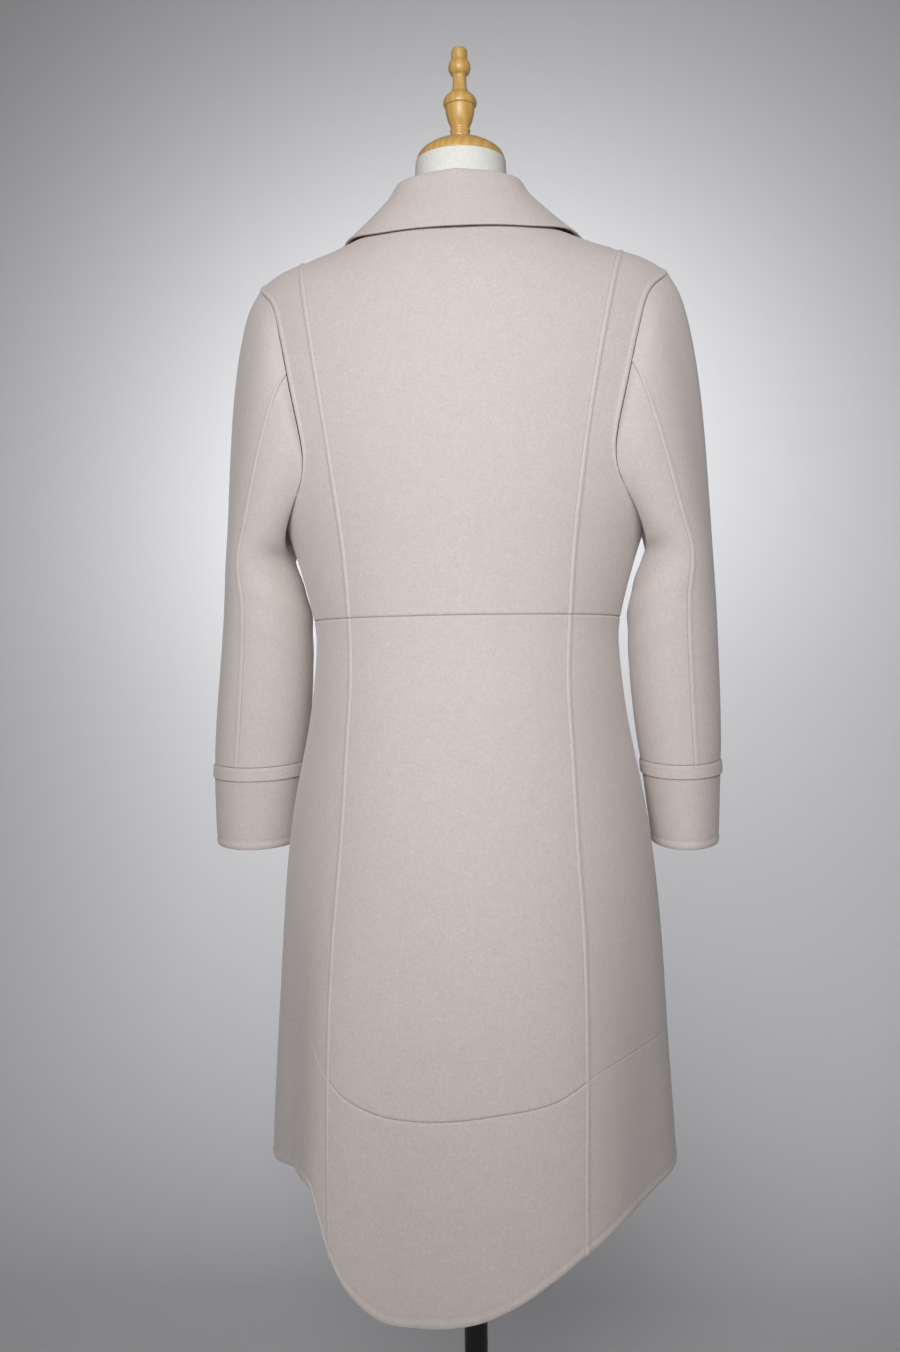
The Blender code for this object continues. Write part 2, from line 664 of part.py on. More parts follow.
def make_collar(cloth: bpy.types.Material) -> None:
    """The turn-down collar: a stand from the neckline, a roll, and a fall that lies on the shoulders."""
    reach = COLLAR[-1].angle
    outer, inner = [], []
    for step in range(COLLAR_STEPS + 1):
        angle = reach * (2 * step / COLLAR_STEPS - 1)
        size = CollarRow(angle, *(smooth(COLLAR, abs(angle), column) for column in range(1, 4)))
        turn = math.radians(angle)
        out_way = Vector((math.sin(turn), -math.cos(turn), 0.0))
        neck_height = smooth(NECKLINE, abs(angle))
        foot_height = neck_height + COLLAR_RISE
        base = Vector((body_radius(angle, neck_height) - WALL / 2, foot_height))
        roll = Vector((base.x - size.lean, neck_height + size.stand))
        shoulder = roll - Vector((0.0, COLLAR_ROLL))
        profile = [base, base.lerp(shoulder, 0.5), shoulder]
        centre = roll + Vector((COLLAR_ROLL, -COLLAR_ROLL))
        for bend in COLLAR_ROLL_BENDS:
            arc = Vector((math.cos(math.radians(bend)), math.sin(math.radians(bend))))
            profile.append(centre + arc * COLLAR_ROLL)
        first_height = neck_height - COLLAR_RISE
        falls = []
        for step_down in range(COLLAR_FALL_STEPS + 1):
            part = step_down / COLLAR_FALL_STEPS
            height = first_height + (size.edge_height - first_height) * part
            lift = COLLAR_FALL_LIFT + (COLLAR_EDGE_LIFT - COLLAR_FALL_LIFT) * ease(part)
            spot = lifted(angle, height, lift + lap_lift(abs(angle)))
            falls.append(Vector((math.hypot(spot.x, spot.y), spot.z)))
        start = profile[-1]
        for step_down, fall in enumerate(falls):
            straight = start.lerp(falls[-1], (step_down + 1) / (COLLAR_FALL_STEPS + 1))
            profile.append(fall.lerp(straight, COLLAR_FALL_STRAIGHT))
        lines = ([], [])
        for index, point in enumerate(profile):
            ahead = profile[min(index + 1, len(profile) - 1)] - profile[max(index - 1, 0)]
            across = Vector((-ahead.y, ahead.x)).normalized() * WALL / 2
            for line, way in zip(lines, (1, -1)):
                spot = point + across * way
                line.append(out_way * spot.x + Vector((0.0, 0.0, spot.y)))
        outer.append(lines[0])
        inner.append(lines[1])
    wall_between("collar", outer, inner, cloth)


def rings_solid(name: str, rings: list[list[Vector]], material: bpy.types.Material) -> None:
    """A solid through a stack of rings, with flat ends."""
    shape = bmesh.new()
    layers = [[shape.verts.new(point) for point in ring] for ring in rings]
    count = len(layers[0])
    for low, high in zip(layers, layers[1:]):
        for index in range(count):
            ahead = (index + 1) % count
            shape.faces.new((low[index], low[ahead], high[ahead], high[index]))
    shape.faces.new(list(reversed(layers[0])))
    shape.faces.new(layers[-1])
    add_object(name, shape, material)


def turned_rings(profile: tuple[Turned, ...], around: int) -> list[list[Vector]]:
    """Level circles of a turned piece on the axis."""
    turns = [math.tau * step / around for step in range(around)]
    return [[Vector((row.radius * math.sin(turn), -row.radius * math.cos(turn), row.height)) for turn in turns]
            for row in profile]


def make_dress_form() -> None:
    """The covered torso with its neck, the wooden cap and finial, and the pole on its base."""
    cover = new_material("form_cover", (0.80, 0.79, 0.75), 0.8)
    wood = new_material("form_wood", (0.62, 0.37, 0.12), 0.35)
    black = new_material("stand_black", (0.012, 0.012, 0.012), 0.4)
    angles = [360.0 * step / FORM_AROUND for step in range(FORM_AROUND)]
    rings = []
    for level in FORM_SECTIONS:
        ring = []
        for angle in angles:
            turn = math.radians(angle)
            depth = level.back if math.cos(turn) > 0 else level.front
            ring.append(Vector((level.half_width * math.sin(turn), -depth * math.cos(turn), level.height)))
        rings.append(ring)
    lowest, highest = FORM_SHOULDER_LEVELS[0], FORM_INSET_HEIGHT
    for height in FORM_SHOULDER_LEVELS:
        near = ease((height - lowest) / (highest - lowest))
        inset = WALL + FORM_INSET_LOW + (FORM_INSET_SHOULDER - FORM_INSET_LOW) * near
        ring = []
        for angle in angles:
            spot = lifted(angle, height, -inset)
            spot.x = min(max(spot.x, -FORM_ARM_PLATE), FORM_ARM_PLATE)
            ring.append(spot)
        rings.append(ring)
    rings += turned_rings(FORM_NECK, FORM_AROUND)
    rings_solid("form_torso", rings, cover)
    rings_solid("neck_cap", turned_rings(NECK_CAP, TURNED_AROUND), wood)
    rings_solid("finial", turned_rings(FINIAL, TURNED_AROUND), wood)
    pole = (Turned(BASE[-1].height + TOUCH_GAP, POLE_RADIUS),
            Turned(FORM_SECTIONS[0].height - TOUCH_GAP, POLE_RADIUS))
    rings_solid("pole", turned_rings(pole, TURNED_AROUND), black)
    rings_solid("base", turned_rings(BASE, BASE_AROUND), black)


def main() -> None:
    """Clears the scene and builds every piece."""
    for item in list(bpy.data.objects):
        bpy.data.objects.remove(item, do_unlink=True)
    cloth = new_material("cashmere", (0.60, 0.52, 0.48), 0.95)
    make_bodice(cloth)
    make_skirt(cloth)
    make_sleeves(cloth)
    make_collar(cloth)
    make_dress_form()


main()
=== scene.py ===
"""Looks of a long cashmere coat on a limbless dress form: fine cloth shells, turned wood and the studio."""

import logging
import math
from dataclasses import dataclass, field
from enum import Enum
from functools import partial
from typing import Callable

import bmesh
import bpy
import numpy as np
from mathutils import Matrix, Vector


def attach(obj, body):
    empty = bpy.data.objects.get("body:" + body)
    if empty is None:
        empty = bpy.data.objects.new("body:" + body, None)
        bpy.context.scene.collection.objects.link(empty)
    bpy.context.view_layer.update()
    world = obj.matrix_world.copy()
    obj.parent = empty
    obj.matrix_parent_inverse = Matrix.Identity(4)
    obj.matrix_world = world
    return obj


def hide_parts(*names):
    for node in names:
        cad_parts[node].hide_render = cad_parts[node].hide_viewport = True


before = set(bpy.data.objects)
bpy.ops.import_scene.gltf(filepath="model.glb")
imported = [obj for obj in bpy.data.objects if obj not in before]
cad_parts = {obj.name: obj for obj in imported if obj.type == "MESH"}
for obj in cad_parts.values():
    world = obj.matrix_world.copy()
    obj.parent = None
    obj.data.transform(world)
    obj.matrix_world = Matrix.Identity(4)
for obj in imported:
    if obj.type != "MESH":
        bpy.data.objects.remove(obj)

LOG = logging.getLogger("coat")
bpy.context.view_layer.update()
BODY_NAME = "root"
# Lengths counted as touching, and the least divisor
NEAR, TINY = 1e-6, 1e-12
# Half the side of the flat grids that shapes start from
GRID_HALF = 0.5

Array = np.ndarray
Places = tuple[Array, Array]
Curve = Callable[[Array], Places]
Reading = Callable[[Array], Array]

# Cloth wall, and the heights and angles of the coat's seams
WALL = 0.0025
SEAM_GAP = 0.0001
WAIST_HEIGHT = 0.983
SHOULDER_TIP_HEIGHT = 1.368
NECK_SIDE_HEIGHT = 1.427
PRINCESS_TOP_HEIGHT = 1.388
YOKE_HEIGHT = 1.160
YOKE_ROUND = 2.6
SIDE_ANGLE = 90.0
LAP_ANGLE, LAP_MARGIN, LAP_RAMP, LAP_LIFT = 12.0, 9.0, 10.0, 0.0048
SIDES = (("left", -1), ("right", 1))

# Height, half width, depth to the back, depth to the front
BODY = np.array((
    (0.200, 0.236, 0.224, 0.204), (0.375, 0.227, 0.210, 0.190), (0.540, 0.218, 0.197, 0.178),
    (0.634, 0.212, 0.187, 0.170), (0.724, 0.204, 0.175, 0.162), (0.787, 0.195, 0.165, 0.155),
    (0.875, 0.178, 0.149, 0.143), (0.950, 0.170, 0.134, 0.133), (0.983, 0.172, 0.130, 0.133),
    (1.050, 0.190, 0.128, 0.140), (1.105, 0.209, 0.130, 0.142), (1.160, 0.226, 0.131, 0.142),
    (1.220, 0.236, 0.131, 0.141), (1.360, 0.245, 0.131, 0.140), (1.470, 0.250, 0.131, 0.140)))
# Distance from the centre, height of the shoulder ridge
SHOULDER_LINE = np.array(((0.0, 1.440), (0.040, 1.437), (0.072, 1.427), (0.135, 1.401), (0.175, 1.388),
                          (0.200, 1.380), (0.222, 1.368), (0.250, 1.345)))
# Angle, spread and depth of each soft fold of the skirt
FLUTES = ((-40.0, 15.0, 0.016), (-62.0, 13.0, -0.014), (34.0, 18.0, 0.007), (64.0, 15.0, -0.008),
          (140.0, 20.0, 0.009), (-135.0, 20.0, 0.009))
FLUTE_TOP, FLUTE_FULL = 0.800, 0.330
# Height, distance of the princess seam from the centre back
PRINCESS_SEAM = np.array(((0.200, 0.123), (0.360, 0.125), (0.520, 0.127), (0.653, 0.126), (0.736, 0.121),
                          (0.840, 0.116), (0.915, 0.113), (0.983, 0.1155), (1.063, 0.121), (1.155, 0.133),
                          (1.260, 0.150), (1.340, 0.165), (1.388, 0.1755)))
# Angle, height
ARMHOLE = np.array(((90.0, 1.105), (76.0, 1.107), (68.0, 1.118), (63.5, 1.140), (62.3, 1.170),
                    (65.0, 1.225), (70.3, 1.290), (77.0, 1.335), (90.0, SHOULDER_TIP_HEIGHT)))
NECKLINE = np.array(((0.0, 1.415), (45.0, 1.419), (90.0, NECK_SIDE_HEIGHT), (135.0, 1.392), (180.0, 1.350)))
ARMPIT_HEIGHT = float(ARMHOLE[0, 1])
HEM = np.array((
    (-180.0, 0.375), (-110.0, 0.384), (-75.0, 0.390), (-55.0, 0.402), (-42.0, 0.402), (-38.0, 0.376),
    (-34.5, 0.345), (-29.5, 0.314), (-20.5, 0.289), (-9.5, 0.2865), (0.0, 0.289), (8.0, 0.296),
    (17.0, 0.311), (25.5, 0.330), (35.0, 0.350), (53.0, 0.372), (86.0, 0.384), (130.0, 0.380),
    (180.0, 0.375)))
BAND = np.array((
    (-180.0, 0.535), (-110.0, 0.545), (-73.0, 0.550), (-47.5, 0.546), (-38.0, 0.515), (-32.0, 0.498),
    (-22.0, 0.485), (-11.0, 0.482), (0.0, 0.484), (9.5, 0.488), (27.5, 0.498), (43.0, 0.521),
    (60.0, 0.530), (86.0, 0.534), (130.0, 0.535), (180.0, 0.535)))
# Shares of the side edge's rows that run along the side seam, the armhole and the shoulder
SIDE_ROWS, ARMHOLE_ROWS, SHOULDER_ROWS = 5, 12, 3
ANGLE_PER_METRE = 400.0


def spline(keys: Array, values: Array, at: Array) -> Array:
    """Runs a smooth curve through rows of values.

    Args:
        keys: A rising key for each row.
        values: The rows, each a number or an array.
        at: Keys to read at.

    Returns:
        A value for each key read, straight on past the ends.
    """
    at = np.asarray(at, float)
    last = len(keys) - 1
    rows = np.arange(last + 1)
    spare = (1,) * (values.ndim - 1)
    before, after = np.maximum(rows - 1, 0), np.minimum(rows + 1, last)
    slopes = (values[after] - values[before]) / (keys[after] - keys[before]).reshape((-1,) + spare)
    low = np.clip(np.searchsorted(keys, at, side="left") - 1, 0, last - 1)
    span = (keys[low + 1] - keys[low]).reshape(at.shape + spare)
    part = (at - keys[low]).reshape(at.shape + spare) / span
    start, end = values[low], values[low + 1]
    inside = np.clip(part, 0.0, 1.0)
    cube, square = inside**3, inside**2
    bend = (cube - 2 * square + inside) * slopes[low] + (cube - square) * slopes[low + 1]
    curved = start * (2 * cube - 3 * square + 1) + end * (3 * square - 2 * cube) + span * bend
    return np.where((part < 0.0) | (part > 1.0), start + (end - start) * part, curved)


def read(table: Array, at: Array, column: int = 1) -> Array:
    """Reads a column of a table on a smooth curve, by values of its first column."""
    return spline(table[:, 0], table[:, column], at)


def lengths(rows: Array) -> Array:
    """Mean distance along rows of points, from the first row."""
    steps = np.linalg.norm(np.diff(rows, axis=0), axis=-1)
    return np.concatenate(([0.0], np.cumsum(steps.reshape(len(steps), -1).mean(axis=1))))


def ease(value: Array) -> Array:
    """A soft step from 0 to 1."""
    held = np.clip(value, 0.0, 1.0)
    return held * held * (3 - 2 * held)


def bell(value: Array, centre: float, spread: float) -> Array:
    """A bell curve round a centre."""
    return np.exp(-(((value - centre) / spread) ** 2))


def turn_bell(angle: Array, centre: float, spread: float) -> Array:
    """A bell curve of the angle between two directions."""
    return np.exp(-((((angle - centre + 180.0) % 360.0 - 180.0) / spread) ** 2))


def clustered(count: int) -> Array:
    """Shares from 0 to 1 that lie closer together near both ends."""
    return 0.5 - 0.5 * np.cos(np.pi * np.linspace(0.0, 1.0, count + 1))


class BodySurface:
    """The coat's outer face, read by angle (0 centre back, 90 right side) and height."""

    BRACKET = 0.4
    HALVINGS = 34
    ANGLE_STEP, HEIGHT_STEP = 0.4, 0.0008
    PRINCESS_LEAST_ANGLE = 5.0

    def radius(self, angle: Array, height: Array) -> Array:
        """Distance from the axis to the cloth.

        Args:
            angle: Angles in degrees.
            height: Heights of the same shape.

        Returns:
            The radii.
        """
        turn = np.radians(angle)
        across, along = np.abs(np.sin(turn)), -np.cos(turn)
        half_width = read(BODY, height, 1)
        depth = np.where(along < 0, read(BODY, height, 2), read(BODY, height, 3))
        low, high = np.zeros_like(turn + height), np.full_like(turn + height, self.BRACKET)
        climb = np.maximum(height - YOKE_HEIGHT, 0.0)
        for _ in range(self.HALVINGS):
            middle = (low + high) / 2
            x, y = middle * across, np.abs(middle * along)
            rise = climb / np.maximum(read(SHOULDER_LINE, x) - YOKE_HEIGHT, NEAR)
            reach = depth * np.sqrt(np.clip(1 - (x / half_width) ** 2, TINY, None))
            outside = (x >= half_width) | ((y / reach) ** YOKE_ROUND + rise**YOKE_ROUND > 1.0)
            low, high = np.where(outside, low, middle), np.where(outside, middle, high)
        flare = ease((FLUTE_TOP - height) / (FLUTE_TOP - FLUTE_FULL))
        waves = sum(depth * turn_bell(angle, centre, spread) for centre, spread, depth in FLUTES)
        return low + flare * waves

    def point(self, angle: Array, height: Array) -> Array:
        """Points of the cloth's outer face, one row of three for each place."""
        radius, turn = self.radius(angle, height), np.radians(angle)
        return np.stack((radius * np.sin(turn), -radius * np.cos(turn), height + 0.0 * turn), axis=-1)

    def normal(self, angle: Array, height: Array) -> Array:
        """Directions straight out of the cloth."""
        along = self.point(angle + self.ANGLE_STEP, height) - self.point(angle - self.ANGLE_STEP, height)
        up = self.point(angle, height + self.HEIGHT_STEP) - self.point(angle, height - self.HEIGHT_STEP)
        way = np.cross(along, up)
        return way / np.linalg.norm(way, axis=-1, keepdims=True)

    def princess_angle(self, height: Array) -> Array:
        """Angle of the right princess seam at each height."""
        height = np.asarray(height, float)
        target = read(PRINCESS_SEAM, height)
        low, high = np.full_like(height, self.PRINCESS_LEAST_ANGLE), np.full_like(height, SIDE_ANGLE)
        for _ in range(self.HALVINGS):
            middle = (low + high) / 2
            far = self.radius(middle, height) * np.sin(np.radians(middle)) > target
            low, high = np.where(far, low, middle), np.where(far, middle, high)
        return np.where(height >= PRINCESS_TOP_HEIGHT - NEAR, SIDE_ANGLE, low)


class SeamPlan:
    """Where the coat's seams and edges run on the body surface."""

    CROSSING_GUESS, CROSSING_TRIES = 40.0, 12

    def __init__(self, body: BodySurface) -> None:
        """Keeps the surface that the seams lie on."""
        self.body = body
        steps = np.hypot(np.diff(ARMHOLE[:, 0]) / ANGLE_PER_METRE, np.diff(ARMHOLE[:, 1]))
        marks = np.concatenate(([0.0], np.cumsum(steps)))
        self.armhole_marks = np.column_stack((marks, ARMHOLE))

    def hem(self, angle: Array) -> Array:
        """Height of the hem, lowest left of the centre back."""
        return read(HEM, (angle + 180.0) % 360.0 - 180.0)

    def band(self, angle: Array) -> Array:
        """Height of the seam above the hem band."""
        return read(BAND, (angle + 180.0) % 360.0 - 180.0)

    def waist(self, angle: Array) -> Array:
        """Height of the waist seam."""
        return np.full_like(angle, WAIST_HEIGHT)

    def neck(self, angle: Array) -> Array:
        """Height of the neckline."""
        return read(NECKLINE, np.minimum(np.abs(angle), 360.0 - np.abs(angle)))

    def armhole(self, part: Array) -> Places:
        """Places on the back half of the armhole, from the armpit (0) to the shoulder tip (1)."""
        at = part * self.armhole_marks[-1, 0]
        return read(self.armhole_marks, at, 1), read(self.armhole_marks, at, 2)

    def level(self, start: float, end: float, height: Reading) -> Curve:
        """A curve round the body from one angle to another, at a height for each angle."""

        def curve(part: Array) -> Places:
            """A place for each share of the way."""
            angle = start + (end - start) * part
            return angle, height(angle)

        return curve

    def princess(self, low: float, high: float, side: int = 1) -> Curve:
        """The princess seam between two heights."""

        def curve(part: Array) -> Places:
            """A place for each share of the way up."""
            height = low + (high - low) * part
            return side * self.body.princess_angle(height), height

        return curve

    def upright(self, angle: float, low: Reading, high: Reading) -> Curve:
        """A straight line up the body between two curves that run round it."""
        at = np.array(angle)

        def curve(part: Array) -> Places:
            """A place for each share of the way up."""
            return np.full_like(part, angle), low(at) + (high(at) - low(at)) * part

        return curve

    def crossing(self, height: Reading) -> tuple[float, float]:
        """Angle and height where the princess seam crosses a curve round the body."""
        angle = np.array(self.CROSSING_GUESS)
        for _ in range(self.CROSSING_TRIES):
            angle = self.body.princess_angle(height(angle))
        return float(angle), float(height(angle))

    def side_edge(self, row: Array) -> Places:
        """The side seam, the back of the armhole and the shoulder seam, by row."""
        seam_part = np.clip(row / SIDE_ROWS, 0.0, 1.0)
        hole_angle, hole_height = self.armhole(np.clip((row - SIDE_ROWS) / ARMHOLE_ROWS, 0.0, 1.0))
        top_part = np.clip((row - SIDE_ROWS - ARMHOLE_ROWS) / SHOULDER_ROWS, 0.0, 1.0)
        below = row <= SIDE_ROWS
        angle = np.where(below, SIDE_ANGLE, hole_angle)
        height = np.where(below, WAIST_HEIGHT + (ARMPIT_HEIGHT - WAIST_HEIGHT) * seam_part, hole_height)
        shoulder = SHOULDER_TIP_HEIGHT + (NECK_SIDE_HEIGHT - SHOULDER_TIP_HEIGHT) * top_part
        above = row > SIDE_ROWS + ARMHOLE_ROWS
        return np.where(above, SIDE_ANGLE, angle), np.where(above, shoulder, height)

    def centre_edge(self, row: Array, side: int) -> Places:
        """The princess seam and then the shoulder seam to the neck, by row."""
        seam_rows = SIDE_ROWS + ARMHOLE_ROWS
        seam_height = WAIST_HEIGHT + (PRINCESS_TOP_HEIGHT - WAIST_HEIGHT) * np.clip(row / seam_rows, 0.0, 1.0)
        top_part = np.clip((row - seam_rows) / SHOULDER_ROWS, 0.0, 1.0)
        height = seam_height + (NECK_SIDE_HEIGHT - PRINCESS_TOP_HEIGHT) * top_part
        angle = np.where(row >= seam_rows, SIDE_ANGLE, self.body.princess_angle(seam_height))
        return side * angle, height


class Edge(Enum):
    """How a cloth piece ends along one of its sides."""

    FLUSH = "flush"
    BUTT = "butt"
    DEEP = "deep"
    HEM = "hem"
    RIDGE = "ridge"
    FREE = "free"


@dataclass(frozen=True)
class EdgeFinish:
    """Sizes of the seams and edges of double-face wool."""

    flush_round: float = 0.0004
    butt_round: float = 0.0011
    deep_round: float = 0.0024
    ridge_width: float = 0.0066
    ridge_side: float = 0.0024
    ridge_height: float = 0.0013
    groove_depth: float = 0.0005
    bead_height: float = 0.0007
    bead_at: float = 0.0042
    bead_spread: float = 0.0022
    groove_beads: float = 2.3

    def outer(self, edge: Edge, away: Array, weight: Array, thick: float) -> Array:
        """How far the outer face stands out near an edge.

        Args:
            edge: The kind of edge.
            away: Distance from the edge in metres.
            weight: Share of the ridge along the edge, from 0 to 1.
            thick: Thickness of the cloth.

        Returns:
            The distance out of the cloth, negative inwards.
        """
        if edge in (Edge.HEM, Edge.FREE):
            size = thick / 2
            lift = self.bead_height * bell(away, self.bead_at, self.bead_spread)
            lift -= self.groove_depth * bell(away, self.groove_beads * self.bead_at, self.bead_spread / 2)
        else:
            rounds = {Edge.DEEP: self.deep_round, Edge.BUTT: self.butt_round}
            size = rounds.get(edge, self.flush_round)
            lift = np.zeros_like(away)
        if edge is Edge.RIDGE:
            lift = ease(away / self.ridge_side) * ease((self.ridge_width - away) / self.ridge_side)
            lift = weight * self.ridge_height * lift
        inside = np.clip(size - away, 0.0, size)
        return lift - (size - np.sqrt(np.maximum(size**2 - inside**2, 0.0)))

    def inner(self, edge: Edge, away: Array, thick: float) -> Array:
        """How far the inner face rises towards a rolled edge."""
        if edge not in (Edge.HEM, Edge.FREE):
            return np.zeros_like(away)
        size = thick / 2
        inside = np.clip(size - away, 0.0, size)
        return size - np.sqrt(np.maximum(size**2 - inside**2, 0.0))


@dataclass
class ClothPiece:
    """A cloth shell made from a grid of outer points and the ways out of the cloth."""

    name: str
    points: Array
    normals: Array
    edges: tuple[Edge, Edge, Edge, Edge]
    ridge_weights: tuple[Array, Array] | None = None
    lift: Array | float = 0.0
    thick: float = WALL
    finish: EdgeFinish = field(default_factory=EdgeFinish)
    least_share: float = 0.125

    def distances(self) -> tuple[Array, Array, Array, Array]:
        """Distances from the bottom, top, left and right edges along the grid's lines."""
        across = np.linalg.norm(np.diff(self.points, axis=1), axis=-1)
        up = np.linalg.norm(np.diff(self.points, axis=0), axis=-1)
        left = np.concatenate((np.zeros((len(across), 1)), np.cumsum(across, axis=1)), axis=1)
        bottom = np.concatenate((np.zeros((1, up.shape[1])), np.cumsum(up, axis=0)), axis=0)
        return bottom, bottom[-1:] - bottom, left, left[:, -1:] - left

    def faces(self) -> tuple[Array, Array]:
        """Outer and inner points, with seams, ridges and rolled edges."""
        away = self.distances()
        rows = self.points.shape[0]
        plain = (np.ones(rows), np.ones(rows))
        left_weight, right_weight = self.ridge_weights or plain
        weights = (1.0, 1.0, left_weight[:, None], right_weight[:, None])
        outer = np.zeros(self.points.shape[:2])
        inner = np.full(self.points.shape[:2], -self.thick)
        for edge, distance, weight in zip(self.edges, away, weights):
            outer = outer + self.finish.outer(edge, distance, weight, self.thick)
            inner = inner + self.finish.inner(edge, distance, self.thick)
        outer = np.maximum(outer, inner + self.thick * self.least_share) + self.lift
        inner = inner + self.lift
        drawn = self.drawn_in()
        return drawn + self.normals * outer[..., None], drawn + self.normals * inner[..., None]

    def drawn_in(self) -> Array:
        """The grid with each edge drawn in by half a seam gap."""
        drawn = self.points.copy()
        for rows, ahead in ((0, 1), (-1, -2)):
            for axis in (0, 1):
                edge = np.take(self.points, rows, axis)
                way = np.take(self.points, ahead, axis) - edge
                way /= np.linalg.norm(way, axis=-1, keepdims=True) + TINY
                if axis == 0:
                    drawn[rows] += way * SEAM_GAP / 2
                else:
                    drawn[:, rows] += way * SEAM_GAP / 2
        return drawn

    def make(self, material: bpy.types.Material, node: str) -> bpy.types.Object:
        """Builds the closed shell, which replaces a node of the frame.

        Args:
            material: Its finish.
            node: The frame's node that it stands for.

        Returns:
            The piece.
        """
        rows, columns = self.points.shape[0] - 1, self.points.shape[1] - 1
        outer, inner = self.faces()
        shape = bmesh.new()
        bmesh.ops.create_grid(shape, x_segments=columns, y_segments=rows, size=GRID_HALF)
        bmesh.ops.solidify(shape, geom=shape.faces[:], thickness=1.0)
        mesh = bpy.data.meshes.new(self.name)
        shape.to_mesh(mesh)
        shape.free()
        places = np.empty(len(mesh.vertices) * 3)
        mesh.vertices.foreach_get("co", places)
        places = places.reshape(-1, 3)
        column = np.rint((places[:, 0] + GRID_HALF) * columns).astype(int)
        row = np.rint((places[:, 1] + GRID_HALF) * rows).astype(int)
        flat_side = (np.abs(places[:, 2]) < 0.5)[:, None]
        mesh.vertices.foreach_set("co", np.where(flat_side, outer[row, column], inner[row, column]).ravel())
        mesh.update()
        piece = finished_object(self.name, mesh, material)
        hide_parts(node)
        return piece


def finished_object(name: str, mesh: bpy.types.Mesh, material: bpy.types.Material) -> bpy.types.Object:
    """Links a closed mesh as a smooth piece with its faces pointing out, riding on the body."""
    mesh.calc_loop_triangles()
    corners = np.empty(len(mesh.loop_triangles) * 3, np.int32)
    mesh.loop_triangles.foreach_get("vertices", corners)
    points = np.empty(len(mesh.vertices) * 3)
    mesh.vertices.foreach_get("co", points)
    a, b, c = (points.reshape(-1, 3)[corners.reshape(-1, 3)[:, corner]] for corner in range(3))
    if np.einsum("ij,ij->i", a, np.cross(b, c)).sum() < 0:
        mesh.flip_normals()
    mesh.shade_smooth()
    mesh.materials.append(material)
    piece = bpy.data.objects.new(name, mesh)
    bpy.context.scene.collection.objects.link(piece)
    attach(piece, BODY_NAME)
    return piece


